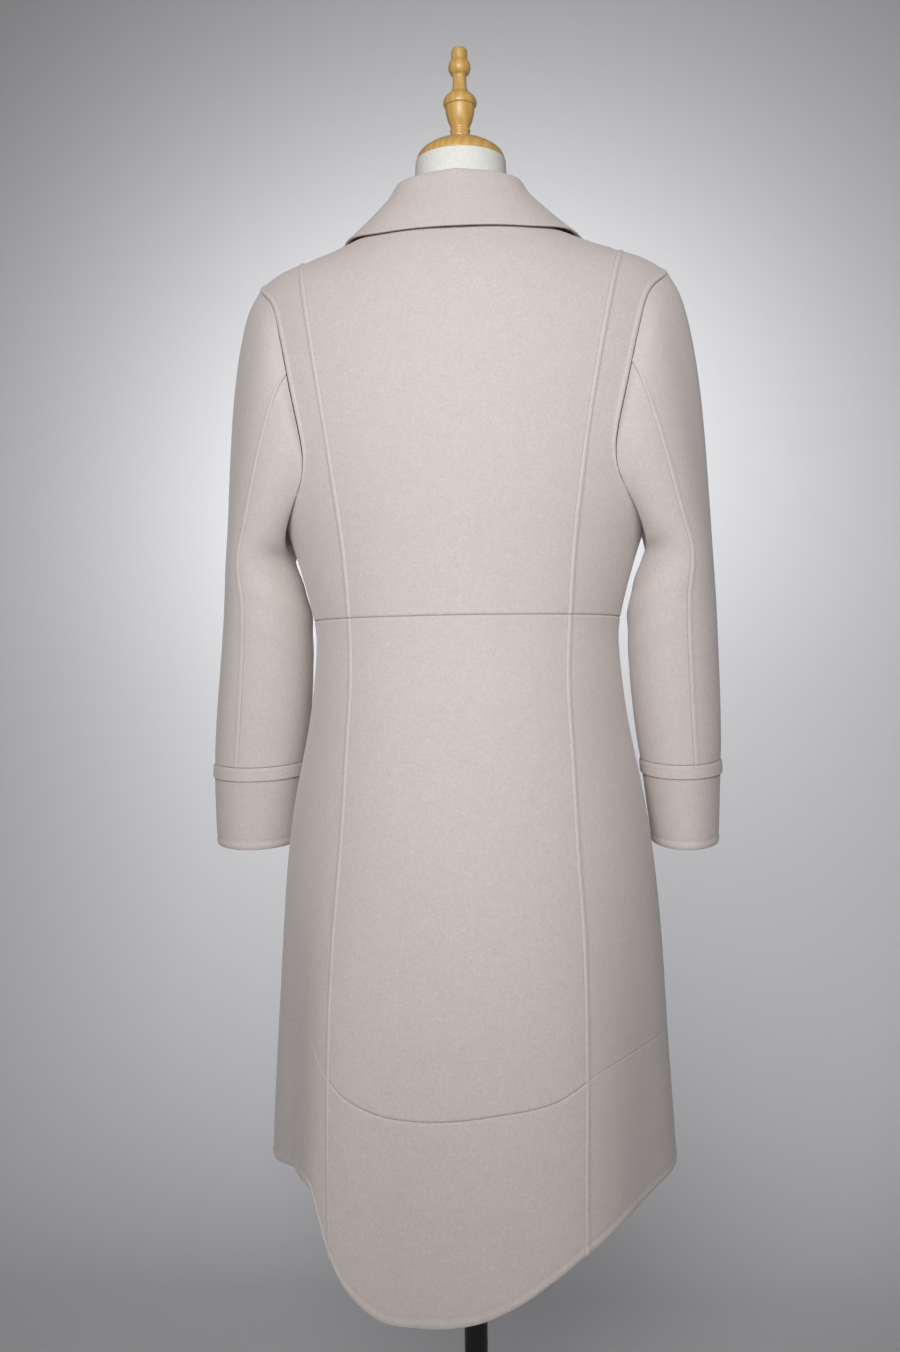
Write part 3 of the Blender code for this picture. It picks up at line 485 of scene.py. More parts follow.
class CoatBody:
    """Bodice, skirt and hem band, each cut in panels between its seams."""

    skirt_ridge = 0.0009
    ridge_fade = 0.6
    centre_columns, front_columns = 72, 72
    bodice_side_columns, skirt_side_columns = 48, 56
    bodice_rows, skirt_rows, hem_rows = 110, 96, 64
    swell_depth, swell_waves = 0.0007, ((3.1, 5.3), (1.7, 17.0))
    hollow_depth, hollow_height, hollow_rise = 0.0011, 1.02, 0.05
    hollow_places = ((-22.0, 9.0), (26.0, 8.0))

    def __init__(self, body: BodySurface, plan: SeamPlan, wool: bpy.types.Material) -> None:
        """Keeps what the panels are laid on and their finish."""
        self.body, self.plan, self.wool = body, plan, wool

    def patch(self, bottom: Curve, top: Curve, left: Curve, right: Curve, columns: int, rows: int) -> Places:
        """Fills four edge curves with a grid of angles and heights."""
        u, v = clustered(columns), clustered(rows)
        low, high, near, far = bottom(u), top(u), left(v), right(v)
        across, up = u[None, :], v[:, None]
        filled = []
        for axis in (0, 1):
            ruled = (1 - up) * low[axis][None, :] + up * high[axis][None, :]
            sided = (1 - across) * near[axis][:, None] + across * far[axis][:, None]
            flat = (1 - up) * ((1 - across) * low[axis][0] + across * low[axis][-1])
            flat = flat + up * ((1 - across) * high[axis][0] + across * high[axis][-1])
            filled.append(ruled + sided - flat)
        return filled[0], filled[1]

    def lap(self, angle: Array) -> Array:
        """How far the right front stands out over the left one."""
        return LAP_LIFT * ease((angle - (180.0 - LAP_ANGLE - LAP_MARGIN - LAP_RAMP)) / LAP_RAMP)

    def drape(self, angle: Array, height: Array) -> Array:
        """Slight, uneven ease of the cloth: shallow hollows and swells."""
        wave = 1.0
        for turns, rises in self.swell_waves:
            wave = wave * np.sin(np.radians(turns * angle) + rises * height)
        blades = sum(turn_bell(angle, centre, spread) for centre, spread in self.hollow_places)
        hollow = bell(height, self.hollow_height, self.hollow_rise) * blades
        return self.swell_depth * wave - self.hollow_depth * hollow

    def panel(self, name: str, places: Places, side: int, edges: tuple[Edge, Edge, Edge, Edge],
              weights: tuple[Array, Array] | None = None, lapped: bool = False,
              finish: EdgeFinish = EdgeFinish()) -> None:
        """Lays one panel on the body surface and builds it."""
        angle, height = places[0] * side, places[1]
        points, normals = self.body.point(angle, height), self.body.normal(angle, height)
        lift = self.lap(places[0]) if lapped else np.zeros_like(height)
        piece = ClothPiece(f"{name}_cloth", points, normals, edges, weights, lift + self.drape(angle, height),
                           finish=finish)
        piece.make(self.wool, name)

    def bodice(self) -> None:
        """The five panels above the waist seam."""
        plan = self.plan
        seam_rows, all_rows = SIDE_ROWS + ARMHOLE_ROWS, SIDE_ROWS + ARMHOLE_ROWS + SHOULDER_ROWS
        start = float(self.body.princess_angle(np.array(WAIST_HEIGHT)))
        centre = self.patch(plan.level(-start, start, plan.waist),
                            plan.level(-SIDE_ANGLE, SIDE_ANGLE, plan.neck),
                            lambda v: plan.centre_edge(v * all_rows, -1),
                            lambda v: plan.centre_edge(v * all_rows, 1), self.centre_columns,
                            self.bodice_rows)
        self.panel("back_centre_bodice", centre, 1, (Edge.DEEP, Edge.BUTT, Edge.FLUSH, Edge.FLUSH))

        def side_top(part: Array) -> Places:
            """A place on the shoulder seam for each share of the way out."""
            height = PRINCESS_TOP_HEIGHT + (SHOULDER_TIP_HEIGHT - PRINCESS_TOP_HEIGHT) * part
            return np.full_like(part, SIDE_ANGLE), height

        rows = self.bodice_rows
        v = clustered(rows)
        side = self.patch(plan.level(start, SIDE_ANGLE, plan.waist), side_top,
                          plan.princess(WAIST_HEIGHT, PRINCESS_TOP_HEIGHT),
                          lambda part: plan.side_edge(part * seam_rows), self.bodice_side_columns, rows)
        side_weights = (np.ones(rows + 1), ease((v * seam_rows - SIDE_ROWS) / self.ridge_fade))
        last = 180.0 + LAP_ANGLE
        top = float(plan.neck(np.array(last)))

        def front_side(part: Array) -> Places:
            """A place on the front's side edge for each share of the way up."""
            angle, height = plan.side_edge(part * all_rows)
            return 180.0 - angle, height

        front = self.patch(plan.level(SIDE_ANGLE, last, plan.waist), plan.level(SIDE_ANGLE, last, plan.neck),
                           front_side,
                           plan.upright(last, plan.waist, lambda angle: np.full_like(angle, top)),
                           self.front_columns, rows)
        hole = ease((v * all_rows - SIDE_ROWS) / self.ridge_fade)
        hole = hole * ease((seam_rows - v * all_rows) / self.ridge_fade)
        for label, sign in SIDES:
            self.panel(f"back_side_bodice_{label}", side, sign,
                       (Edge.DEEP, Edge.BUTT, Edge.RIDGE, Edge.RIDGE), side_weights)
            self.panel(f"front_bodice_{label}", front, sign, (Edge.DEEP, Edge.BUTT, Edge.RIDGE, Edge.FREE),
                       (hole, np.ones(rows + 1)), sign > 0)

    def skirt(self) -> None:
        """The skirt from the waist to the hem band, and the band down to the hem."""
        plan = self.plan
        last = 180.0 + LAP_ANGLE
        levels = (("skirt", plan.band, plan.waist, self.skirt_rows, Edge.BUTT, Edge.DEEP),
                  ("hem", plan.hem, plan.band, self.hem_rows, Edge.HEM, Edge.BUTT))
        for kind, low, high, rows, bottom, top in levels:
            seams, ends = {}, {}
            for label, sign in SIDES:
                side_low, side_high = (partial(self.on_side, level, sign) for level in (low, high))
                low_place, high_place = plan.crossing(side_low), plan.crossing(side_high)
                seams[sign] = plan.princess(low_place[1], high_place[1], sign)
                ends[sign] = (sign * low_place[0], sign * high_place[0])
                seam = plan.princess(low_place[1], high_place[1])
                seam_line = plan.upright(SIDE_ANGLE, side_low, side_high)
                side = self.patch(plan.level(low_place[0], SIDE_ANGLE, side_low),
                                  plan.level(high_place[0], SIDE_ANGLE, side_high), seam, seam_line,
                                  self.skirt_side_columns, rows)
                front = self.patch(plan.level(SIDE_ANGLE, last, side_low),
                                   plan.level(SIDE_ANGLE, last, side_high), seam_line,
                                   plan.upright(last, side_low, side_high), self.front_columns, rows)
                self.panel(f"back_side_{kind}_{label}", side, sign, (bottom, top, Edge.RIDGE, Edge.BUTT),
                           finish=EdgeFinish(ridge_height=self.skirt_ridge))
                self.panel(f"front_{kind}_{label}", front, sign, (bottom, top, Edge.BUTT, Edge.FREE),
                           lapped=sign > 0)
            centre = self.patch(plan.level(ends[-1][0], ends[1][0], low),
                                plan.level(ends[-1][1], ends[1][1], high), seams[-1], seams[1],
                                self.centre_columns, rows)
            ends_of = {Edge.BUTT: Edge.DEEP}
            self.panel(f"back_centre_{kind}", centre, 1,
                       (ends_of.get(bottom, bottom), ends_of.get(top, top), Edge.FLUSH, Edge.FLUSH))

    def on_side(self, level: Reading, side: int, angle: Array) -> Array:
        """A level's height, with angles counted towards one side."""
        return level(side * angle)


# Height, inner side, outer side, half depth, how far forward the sleeve hangs
SLEEVE = np.array((
    (0.730, 0.2050, 0.281, 0.054, 0.045), (0.780, 0.1990, 0.282, 0.056, 0.038),
    (0.825, 0.1930, 0.283, 0.058, 0.031), (0.890, 0.1850, 0.282, 0.061, 0.023),
    (0.950, 0.1810, 0.280, 0.064, 0.016), (1.000, 0.1820, 0.278, 0.066, 0.010),
    (1.050, 0.1970, 0.275, 0.068, 0.005)))


@dataclass
class Sleeves:
    """Two-piece sleeves, each with a tuck band and a cuff. Turn 0 is a sleeve's outer side, 90 its back."""

    body: BodySurface
    plan: SeamPlan
    wool: bpy.types.Material
    blend: tuple[float, ...] = (0.0, 0.08, 0.22, 0.4, 0.6, 0.8)
    gap: float = 0.0003
    puff: float = 0.0155
    puff_rise: float = 0.6
    relief: float = 0.004
    facing: tuple[float, float, float] = (0.5, 0.9, 0.45)
    head_height: float = 1.050
    end_height: float = 0.825
    seam_turn: float = 75.0
    cuff_top: float = 0.8246
    cuff_end: float = 0.730
    welt_top: float = 0.8225
    welt_height: float = 0.013
    welt_thick: float = 0.0012
    welt_rise: tuple[float, float] = (0.0023, 0.0014)
    back_dip: float = 0.006
    dip_top: float = 0.960
    fold_depth: float = 0.0016
    fold_share: float = 0.6
    fold_slant: float = 0.00035
    fold_pitch: float = 0.042
    fold_height: float = 1.000
    fold_rise: float = 0.055
    fold_places: tuple[tuple[float, float, float], ...] = ((150.0, 55.0, 1.0), (250.0, 50.0, 0.6))
    swell: tuple[float, float, float] = (0.0006, 9.0, 2.0)
    fades: tuple[float, float] = (0.03, 0.02)
    ring_step: float = 15.0
    turn_step: float = 0.8
    head_step: float = 1.0
    sleeve_rows: int = 110
    upper_columns: int = 60
    under_columns: int = 80
    band_columns: int = 96
    cuff_rows: int = 48
    welt_rows: int = 16
    spread: tuple[float, float] = (0.020, 0.0)
    spread_levels: tuple[float, float] = (1.050, 0.735)
    seam_finish: EdgeFinish = EdgeFinish(ridge_height=0.0007, flush_round=0.0010)

    def ring(self) -> Array:
        """Evenly spaced turns once round a sleeve."""
        return np.arange(0.0, 360.0, self.ring_step)

    def oval(self, height: Array, turn: Array, side: int, proud: Array | float = 0.0) -> Array:
        """Points of level cuts, a row for each height and a column for each turn."""
        inner, outer, half_depth, forward = (read(SLEEVE, height, column)[:, None] for column in range(1, 5))
        way = np.radians(turn)[None, :]
        high, low = self.spread_levels
        outer = outer + self.spread[int(side > 0)] * ease((high - height) / (high - low))[:, None]
        x = (inner + outer) / 2 + ((outer - inner) / 2 + proud) * np.cos(way)
        y = forward - (half_depth + proud) * np.sin(way)
        dip = self.back_dip * ease((self.dip_top - height) / (self.dip_top - self.end_height))[:, None]
        return np.stack((side * x, y, height[:, None] - dip * np.sin(way)), axis=-1)

    def hole(self, turn: Array, side: int) -> tuple[Array, Array]:
        """Points round the armhole and the ways out of the cloth there."""
        turn = turn % 360.0
        angle, height = self.plan.armhole(np.abs(1 - turn / 180.0))
        angle = side * np.where(turn <= 180.0, angle, 180.0 - angle)
        return self.body.point(angle, height), self.body.normal(angle, height)

    def head(self, turn: Array, side: int) -> Array:
        """The sleeve's edge at the armhole, just off the bodice."""
        points, normals = self.hole(turn, side)
        along = self.hole(turn + self.head_step, side)[0] - self.hole(turn - self.head_step, side)[0]
        off = np.cross(along, normals)
        off /= np.linalg.norm(off, axis=-1, keepdims=True)
        middle = self.hole(self.ring(), side)[0].mean(axis=0)
        inward = np.einsum("ij,ij->i", off, middle - points) < 0
        off[inward] *= -1
        return points + (normals + off) * self.gap

    def rows(self, turn: Array, side: int) -> Array:
        """Cuts of the sleeve from the armhole down to its end."""
        first = self.head(turn, side)
        goal = self.oval(np.array([self.head_height]), turn, side)[0]
        across, behind = np.cos(np.radians(turn)), np.sin(np.radians(turn))
        least, outer_share, depth_share = self.facing
        facing = ease(least + outer_share * across + depth_share * np.abs(behind))
        outward = np.stack((side * across, -behind, np.zeros_like(turn)), axis=-1)
        cuts = []
        for part in self.blend:
            push = outward * (facing * self.puff * math.sin(math.pi * part**self.puff_rise))[:, None]
            push[:, 0] += side * (1 - facing) * self.relief * math.sin(math.pi * part)
            cuts.append(first + (goal - first) * part + push)
        levels = SLEEVE[SLEEVE[:, 0] >= self.end_height, 0][::-1]
        return np.concatenate((np.array(cuts), self.oval(levels, turn, side)))

    def folds(self, turn: Array, points: Array) -> Array:
        """Shallow slanting folds inside the elbow and under the arm."""
        height = points[..., 2]
        slant = height + self.fold_slant * np.abs((turn[None, :] + 180.0) % 360.0 - 180.0)
        inside = sum(share * turn_bell(turn, centre, spread)[None, :]
                     for centre, spread, share in self.fold_places)
        waves = np.cos(2 * np.pi * slant / self.fold_pitch) * bell(height, self.fold_height, self.fold_rise)
        depth, rises, turns = self.swell
        swell = depth * np.sin(rises * height + np.radians(turns * turn)[None, :])
        return self.fold_depth * inside * waves * self.fold_share + swell

    def half(self, name: str, first: float, last: float, columns: int, side: int,
             edges: tuple[Edge, ...]) -> None:
        """One of the two cut pieces of a sleeve, between two turns."""
        turn = first + (last - first) * clustered(columns)
        keys = lengths(self.rows(self.ring(), side))
        at = keys[-1] * clustered(self.sleeve_rows)
        points, ahead, behind = (spline(keys, self.rows(turn + step, side), at)
                                 for step in (0.0, self.turn_step, -self.turn_step))
        normals = np.cross(ahead - behind, np.gradient(points, axis=0))
        normals /= np.linalg.norm(normals, axis=-1, keepdims=True)
        centres = spline(keys, self.rows(self.ring(), side), at).mean(axis=1)
        if np.einsum("ijk,ijk->ij", normals, points - centres[:, None]).mean() < 0:
            normals = -normals
        fade = ease(at / self.fades[0]) * ease((keys[-1] - at) / self.fades[1])
        lift = self.folds(turn, points) * fade[:, None]
        piece = ClothPiece(f"{name}_cloth", points, normals, edges, lift=lift, finish=self.seam_finish)
        piece.make(self.wool, name)

    def band(self, name: str, side: int, heights: Array, proud: Array, thick: float,
             edges: tuple[Edge, ...], finish: EdgeFinish) -> None:
        """A band round the sleeve with its join on the inner side."""
        turn = np.linspace(-180.0, 180.0, self.band_columns + 1)
        points = self.oval(heights, turn, side, proud[:, None])
        ahead, behind = (self.oval(heights, turn + step, side, proud[:, None])
                         for step in (self.turn_step, -self.turn_step))
        normals = np.cross(ahead - behind, np.gradient(points, axis=0))
        normals /= np.linalg.norm(normals, axis=-1, keepdims=True)
        if np.einsum("ijk,ijk->ij", normals, points - points.mean(axis=1, keepdims=True)).mean() < 0:
            normals = -normals
        piece = ClothPiece(f"{name}_cloth", points, normals, edges, thick=thick, finish=finish)
        piece.make(self.wool, name)

    def build(self) -> None:
        """Both sleeves with their bands and cuffs."""
        seam = self.seam_turn
        plain_ends = (Edge.BUTT, Edge.BUTT)
        for label, side in SIDES:
            self.half(f"upper_sleeve_{label}", -seam, seam, self.upper_columns, side,
                      (*plain_ends, Edge.FLUSH, Edge.RIDGE))
            self.half(f"under_sleeve_{label}", seam, 360.0 - seam, self.under_columns, side,
                      (*plain_ends, *plain_ends))
            heights = self.cuff_end + (self.cuff_top - self.cuff_end) * clustered(self.cuff_rows)
            self.band(f"cuff_{label}", side, heights, np.zeros_like(heights), WALL,
                      (Edge.HEM, Edge.BUTT, *plain_ends), EdgeFinish())
            parts = clustered(self.welt_rows)
            heights = self.welt_top - self.welt_height * (1 - parts)
            proud = self.welt_rise[0] + (self.welt_rise[1] - self.welt_rise[0]) * parts
            self.band(f"cuff_welt_{label}", side, heights, proud, self.welt_thick,
                      (Edge.FREE, Edge.FREE, *plain_ends), EdgeFinish(bead_height=0.0, groove_depth=0.0))


# Angle, height of the stand, how far it leans in, height of the free edge
COLLAR = np.array(((0.0, 0.050, 0.006, 1.395), (45.0, 0.044, 0.010, 1.396), (90.0, 0.031, 0.005, 1.401),
                   (125.0, 0.022, 0.006, 1.362), (158.0, 0.020, 0.006, 1.318)))


@dataclass
class Collar:
    """The turn-down collar: a stand from the neckline, a roll, and a fall that lies on the shoulders."""

    body: BodySurface
    plan: SeamPlan
    coat: CoatBody
    wool: bpy.types.Material
    roll: float = 0.0045
    roll_bends: tuple[float, ...] = (135.0, 90.0, 45.0)
    rise: float = 0.0022
    fall_lift: float = 0.0085
    edge_lift: float = 0.0040
    fall_steps: int = 5
    fall_straight: float = 0.85
    columns: int = 150
    rows: int = 90

    def profile(self, angle: Array) -> Array:
        """Middle of the cloth at each angle, as rows of radius and height from the neckline outwards."""
        bare = np.abs(angle)
        neck = self.plan.neck(angle)
        stand, lean, edge = (read(COLLAR, bare, column) for column in range(1, 4))
        base = np.stack((self.body.radius(angle, neck) - WALL / 2, neck + self.rise), axis=-1)
        top = np.stack((base[:, 0] - lean, neck + stand), axis=-1)
        shoulder = top - np.array((0.0, self.roll))
        rows = [base, (base + shoulder) / 2, shoulder]
        centre = top + np.array((self.roll, -self.roll))
        for bend in np.radians(self.roll_bends):
            rows.append(centre + self.roll * np.array((math.cos(bend), math.sin(bend))))
        first = neck - self.rise
        falls = []
        parts = np.linspace(0.0, 1.0, self.fall_steps + 1)
        for part in parts:
            height = first + (edge - first) * part
            lift = self.fall_lift + (self.edge_lift - self.fall_lift) * ease(part) + self.coat.lap(bare)
            spot = self.body.point(angle, height) + self.body.normal(angle, height) * lift[:, None]
            falls.append(np.stack((np.hypot(spot[:, 0], spot[:, 1]), spot[:, 2]), axis=-1))
        start = rows[-1]
        for part, fall in zip(parts, falls):
            share = (part + 1.0 / self.fall_steps) / (1.0 + 1.0 / self.fall_steps)
            straight = start + (falls[-1] - start) * share
            rows.append(fall + (straight - fall) * self.fall_straight)
        return np.array(rows)

    def build(self) -> None:
        """The collar's cloth."""
        reach = COLLAR[-1, 0]
        angle = reach * (2 * clustered(self.columns) - 1)
        profile = self.profile(angle)
        keys = lengths(profile)
        middle = spline(keys, profile, keys[-1] * clustered(self.rows))
        ahead = np.gradient(middle, axis=0)
        across = np.stack((-ahead[..., 1], ahead[..., 0]), axis=-1)
        across /= np.linalg.norm(across, axis=-1, keepdims=True)
        outer = middle + across * WALL / 2
        sine, cosine = np.sin(np.radians(angle)), np.cos(np.radians(angle))
        points, normals = (np.stack((flat[..., 0] * sine, -flat[..., 0] * cosine, flat[..., 1]), axis=-1)
                           for flat in (outer, across))
        piece = ClothPiece("collar_cloth", points, normals, (Edge.BUTT, Edge.FREE, Edge.FREE, Edge.FREE),
                           finish=EdgeFinish(bead_height=0.0, groove_depth=0.0))
        piece.make(self.wool, "collar")


# Height, half width, depth to the back, depth to the front
FORM_SECTIONS = np.array((
    (0.660, 0.150, 0.112, 0.104), (0.675, 0.163, 0.124, 0.115), (0.750, 0.172, 0.130, 0.120),
    (0.850, 0.158, 0.118, 0.114), (0.950, 0.136, 0.104, 0.108), (1.050, 0.146, 0.108, 0.122),
    (1.140, 0.168, 0.114, 0.126)))
FORM_SHOULDER_LEVELS = (1.200, 1.260, 1.310, 1.345, 1.365, 1.380, 1.392, 1.402, 1.411, 1.419)
# Height, radius
FORM_NECK = np.array(((1.432, 0.0580), (1.447, 0.0545), (1.478, 0.0520), (1.4985, 0.0508)))
NECK_CAP = np.array(((1.4988, 0.0485), (1.4995, 0.0498), (1.5040, 0.0490), (1.5090, 0.0458), (1.5140, 0.0395),
                     (1.5190, 0.0305), (1.5230, 0.0205), (1.5255, 0.0110)))
FINIAL = np.array((
    (1.5258, 0.0112), (1.5290, 0.0114), (1.5300, 0.0104), (1.5318, 0.0104), (1.5326, 0.0113),
    (1.5352, 0.0113), (1.5362, 0.0102), (1.5376, 0.0106), (1.5450, 0.0137), (1.5530, 0.0158),
    (1.5600, 0.0166), (1.5612, 0.0166), (1.5618, 0.0180), (1.5632, 0.0187), (1.5660, 0.0189),
    (1.5690, 0.0183), (1.5730, 0.0158), (1.5765, 0.0118), (1.5785, 0.0098), (1.5810, 0.0090),
    (1.5850, 0.0079), (1.5950, 0.0077), (1.5968, 0.0085), (1.5990, 0.0108), (1.6030, 0.0124),
    (1.6064, 0.0126), (1.6100, 0.0119), (1.6135, 0.0098), (1.6147, 0.0090), (1.6235, 0.0090),
    (1.6262, 0.0080), (1.6276, 0.0055), (1.6280, 0.0020)))
POLE = np.array(((0.0303, 0.0130), (0.6597, 0.0130)))
BASE = np.array((
    (0.0, 0.1755), (0.0006, 0.1770), (0.002, 0.178), (0.009, 0.178), (0.0104, 0.1772), (0.011, 0.1757),
    (0.012, 0.030), (0.0128, 0.0275), (0.0285, 0.0232), (0.0300, 0.0220)))


@dataclass
class DressForm:
    """The covered torso with its neck, the wooden cap and finial, and the pole on its base."""

    body: BodySurface
    finishes: "Finishes"
    inset_low: float = 0.013
    inset_shoulder: float = 0.0094
    inset_height: float = 1.345
    arm_plate: float = 0.184
    columns: int = 96
    rows: int = 150
    turned_steps: int = 72
    cap_steps: int = 40
    finial_steps: int = 160
    sharp_angle: float = 40.0

    def torso_rings(self, angle: Array) -> Array:
        """Level cuts of the torso from its underside to the top of the neck."""
        turn = np.radians(angle)
        rings = []
        for height, half_width, back, front in FORM_SECTIONS:
            depth = np.where(np.cos(turn) > 0, back, front)
            level = np.full_like(turn, height)
            rings.append(np.stack((half_width * np.sin(turn), -depth * np.cos(turn), level), -1))
        lowest = FORM_SHOULDER_LEVELS[0]
        for height in FORM_SHOULDER_LEVELS:
            near = ease((height - lowest) / (self.inset_height - lowest))
            inset = WALL + self.inset_low + (self.inset_shoulder - self.inset_low) * near
            level = np.full_like(angle, height)
            ring = self.body.point(angle, level) - self.body.normal(angle, level) * inset
            ring[:, 0] = np.clip(ring[:, 0], -self.arm_plate, self.arm_plate)
            rings.append(ring)
        for height, radius in FORM_NECK:
            level = np.full_like(turn, height)
            rings.append(np.stack((radius * np.sin(turn), -radius * np.cos(turn), level), -1))
        return np.array(rings)

    def torso(self) -> None:
        """The smooth covered torso and neck."""
        angle = np.linspace(0.0, 360.0, self.columns + 1)
        rings = self.torso_rings(angle)
        keys = lengths(rings)
        points = spline(keys, rings, np.linspace(0.0, keys[-1], self.rows + 1))
        shape = bmesh.new()
        bmesh.ops.create_grid(shape, x_segments=self.columns, y_segments=self.rows, size=GRID_HALF)
        for vert in shape.verts:
            column = round((vert.co.x + GRID_HALF) * self.columns)
            row = round((vert.co.y + GRID_HALF) * self.rows)
            vert.co = points[row, column]
        bmesh.ops.remove_doubles(shape, verts=shape.verts[:], dist=NEAR)
        bmesh.ops.holes_fill(shape, edges=[edge for edge in shape.edges if edge.is_boundary], sides=0)
        self.finish("form_torso", shape, self.finishes.jersey, "form_cover")

    def turned(self, node: str, profile: Array, steps: int, material: bpy.types.Material, slot: str) -> None:
        """A piece turned on the axis.

        Args:
            node: The frame's node that it stands for.
            profile: Rows of height and radius.
            steps: Points of the smooth profile, or 0 for straight runs between the rows.
            material: Its finish.
            slot: Not used.
        """
        keys = lengths(profile[:, None, :])
        line = spline(keys, profile, np.linspace(0.0, keys[-1], steps + 1)) if steps else profile
        shape = bmesh.new()
        ends = [(line[0, 0], 0.0), *map(tuple, line), (line[-1, 0], 0.0)]
        verts = [shape.verts.new((radius, 0.0, height)) for height, radius in ends]
        edges = [shape.edges.new(pair) for pair in zip(verts, verts[1:])]
        bmesh.ops.spin(shape, geom=verts + edges, cent=(0.0, 0.0, 0.0), axis=(0.0, 0.0, 1.0), angle=math.tau,
                       steps=self.turned_steps, use_merge=True)
        bmesh.ops.remove_doubles(shape, verts=shape.verts[:], dist=NEAR)
        self.finish(node, shape, material, slot)

    def finish(self, node: str, shape: bmesh.types.BMesh, material: bpy.types.Material, slot: str) -> None:
        """Makes a closed shape a piece that stands for a node."""
        bmesh.ops.recalc_face_normals(shape, faces=shape.faces[:])
        mesh = bpy.data.meshes.new(f"{node}_piece")
        shape.to_mesh(mesh)
        shape.free()
        piece = finished_object(f"{node}_piece", mesh, material)
        mesh.set_sharp_from_angle(angle=math.radians(self.sharp_angle))
        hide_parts(node)
        LOG.info("%s: %d faces", piece.name, len(mesh.polygons))

    def build(self) -> None:
        """Every piece of the dress form."""
        self.torso()
        self.turned("neck_cap", NECK_CAP, self.cap_steps, self.finishes.wood, "form_wood")
        self.turned("finial", FINIAL, self.finial_steps, self.finishes.wood, "form_wood")
        self.turned("pole", POLE, 0, self.finishes.black, "stand_black")
        self.turned("base", BASE, 0, self.finishes.black, "stand_black")


Colour = tuple[float, float, float, float]


@dataclass(frozen=True)
class WoolFinish:
    """Brushed double-face cashmere, matt with a soft nap."""

    dark: Colour = (0.555, 0.490, 0.461, 1.0)
    light: Colour = (0.655, 0.586, 0.556, 1.0)
    fibre_scale: float = 760.0
    mottle_scale: float = 330.0
    cloud_scale: float = 60.0
    roughness: float = 0.95
    sheen: float = 0.30
    sheen_roughness: float = 0.55
    bump: float = 0.5
    bump_distance: float = 0.0009


@dataclass(frozen=True)
class JerseyFinish:
    """Plain stretched cotton jersey."""

    dark: Colour = (0.700, 0.690, 0.650, 1.0)
    light: Colour = (0.830, 0.825, 0.790, 1.0)
    fibre_scale: float = 900.0
    mottle_scale: float = 300.0
    cloud_scale: float = 14.0
    roughness: float = 0.85
    bump: float = 0.20
    bump_distance: float = 0.0004


@dataclass(frozen=True)
class WoodFinish:
    """Honey beech under clear satin varnish."""

    dark: Colour = (0.560, 0.320, 0.085, 1.0)
    light: Colour = (0.720, 0.450, 0.140, 1.0)
    ring_scale: float = 42.0
    ring_place: tuple[float, float, float] = (0.06, 0.02, 0.0)
    ring_lean: tuple[float, float, float] = (0.12, 0.2, 0.0)
    ring_stretch: tuple[float, float, float] = (1.0, 1.0, 0.25)
    ring_wander: float = 2.2
    ring_detail: float = 2.0
    ring_detail_scale: float = 1.5
    ring_share: float = 0.55
    grain_share: float = 0.45
    fibre_scale: float = 500.0
    mottle_scale: float = 120.0
    cloud_scale: float = 30.0
    roughness: float = 0.42
    coat: float = 0.35
    coat_roughness: float = 0.18
    bump: float = 0.08
    bump_distance: float = 0.0003


@dataclass(frozen=True)
class BlackFinish:
    """Black powder coat on steel."""

    dark: Colour = (0.006, 0.006, 0.006, 1.0)
    light: Colour = (0.016, 0.016, 0.016, 1.0)
    fibre_scale: float = 1400.0
    mottle_scale: float = 500.0
    cloud_scale: float = 20.0
    roughness: float = 0.45
    bump: float = 0.15
    bump_distance: float = 0.0002


Finish = WoolFinish | JerseyFinish | WoodFinish | BlackFinish


def add_node(tree: bpy.types.NodeTree, kind: str, inputs: dict, **settings: object) -> bpy.types.Node:
    """Adds a shader node.

    Args:
        tree: Where it goes.
        kind: Its type.
        inputs: Sockets to link from, or values, by the name or place of each input.
        settings: The node's own options.

    Returns:
        The node.
    """
    node = tree.nodes.new(kind)
    for name, value in settings.items():
        setattr(node, name, value)
    for name, value in inputs.items():
        if isinstance(value, bpy.types.NodeSocket):
            tree.links.new(value, node.inputs[name])
        else:
            node.inputs[name].default_value = value
    return node


